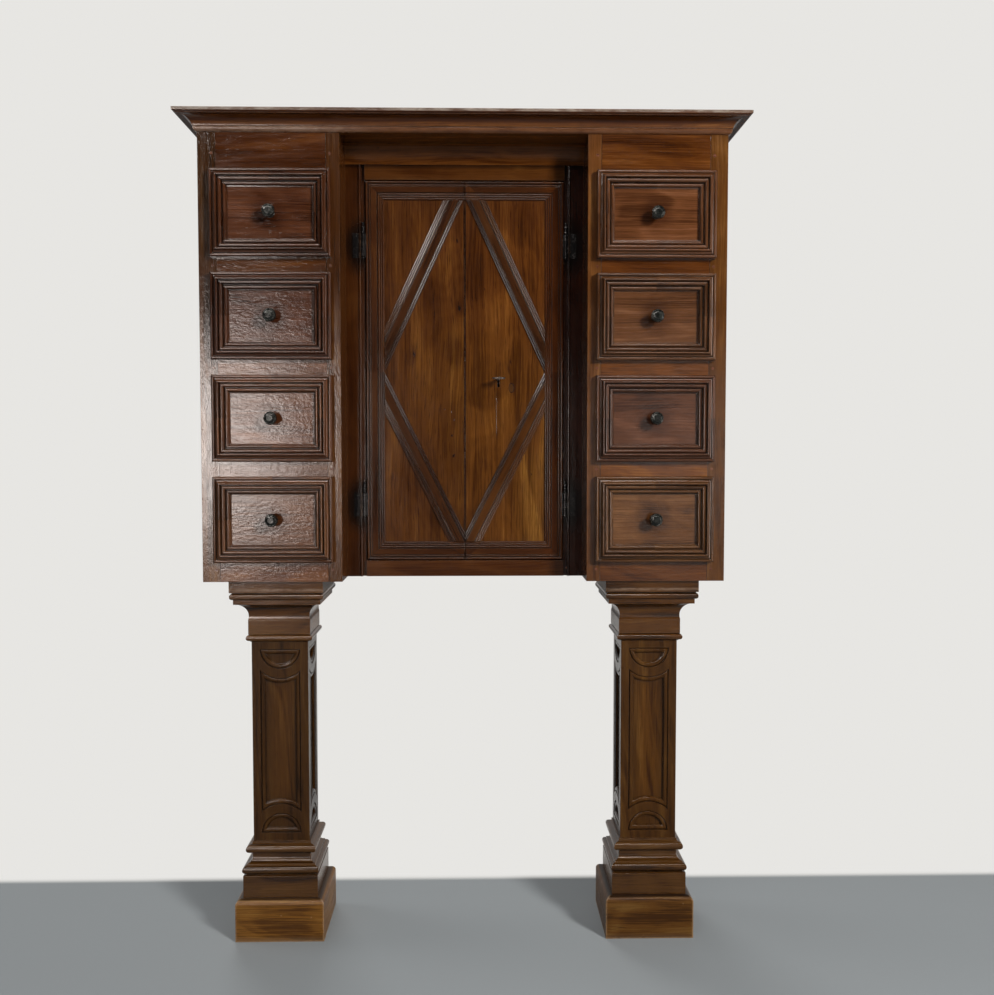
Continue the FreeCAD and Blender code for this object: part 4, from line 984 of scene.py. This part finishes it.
# Lamps: some only light the wood, the others only shine in its wax, as windows do
def soft_lamp(name, place, target, width, height, power, colour, lights=True, shines=True,
              run=(1.0, 0.0, 0.0)):
    data = bpy.data.lights.new(name, "AREA")
    data.shape = "RECTANGLE"
    data.size = width
    data.size_y = height
    data.energy = power
    data.color = colour
    lamp = bpy.data.objects.new(name, data)
    bpy.context.collection.objects.link(lamp)
    lamp.location = place
    lamp.visible_diffuse = lights
    lamp.visible_glossy = shines
    lamp.rotation_mode = "QUATERNION"
    back = (Vector(place) - Vector(target)).normalized()
    across = (Vector(run) - back * back.dot(Vector(run))).normalized()
    lamp.rotation_quaternion = Matrix((across, back.cross(across), back)).transposed().to_quaternion()


NEARLY_WHITE = (1.0, 0.99, 0.98)
WARM = (1.0, 0.93, 0.88)
WARMER = (1.0, 0.92, 0.86)
soft_lamp("main_window", (3.1, -3.9, 3.1), (0.0, 0.0, 1.25), 0.8, 1.0, 285.0, (1.0, 0.985, 0.965),
          shines=False)
soft_lamp("low_window", (-2.05, -5.4, 1.3), (-0.2, 0.0, 1.3), 1.0, 1.2, 95.0, (1.0, 0.90, 0.84), lights=False)
soft_lamp("high_window", (-3.48, -3.27, 4.13), (-0.1, 0.0, 1.75), 3.2, 0.7, 260.0, WARM, lights=False,
          run=(-1.81, 2.5, 0.85))
soft_lamp("side_window", (2.9, -3.6, 3.7), (0.0, 0.0, 1.4), 0.7, 0.9, 18.0, WARM, lights=False)
soft_lamp("right_window", (1.55, -5.4, 1.2), (0.4, 0.0, 1.3), 1.0, 1.3, 7.0, (1.0, 0.91, 0.85), lights=False)
soft_lamp("right_strip", (3.4, -2.0, 1.4), (0.3, 0.0, 1.35), 0.5, 2.4, 45.0, WARMER, lights=False)
soft_lamp("strip", (-0.2, -3.0, 4.2), (-0.1, 0.0, 1.2), 3.2, 0.5, 130.0, WARMER, lights=False)
soft_lamp("fill", (-2.4, -4.6, 1.6), (0.0, 0.0, 1.2), 2.0, 2.0, 16.0, (1.0, 0.97, 0.94), shines=False)
soft_lamp("ceiling", (0.2, -2.0, 4.2), (0.0, 0.1, 1.0), 2.6, 1.6, 30.0, (1.0, 0.99, 0.97), shines=False)
soft_lamp("left_side", (-4.5, 0.9, 2.6), (-0.6, 0.0, 1.3), 2.0, 2.0, 55.0, NEARLY_WHITE, shines=False)
soft_lamp("rear", (-1.6, 4.4, 3.0), (0.0, 0.0, 1.2), 2.4, 1.8, 110.0, NEARLY_WHITE, shines=False)

# Camera where the photograph was taken from
SENSOR = 36.0
LENS = 37.47
EYE_PLACE = (0.0292, -2.7381, 1.2781)
EYE_DOWN = 2.816
EYE_TO_THE_RIGHT = 1.155
eye = bpy.data.cameras.new("eye")
eye.sensor_fit = "HORIZONTAL"
eye.sensor_width = SENSOR
eye.lens = LENS
eye.clip_end = 100.0
camera = bpy.data.objects.new("eye", eye)
bpy.context.collection.objects.link(camera)
camera.location = EYE_PLACE
camera.rotation_euler = (math.radians(90.0 - EYE_DOWN), 0.0, math.radians(-EYE_TO_THE_RIGHT))
bpy.context.scene.camera = camera
bpy.context.scene.view_settings.view_transform = "Standard"
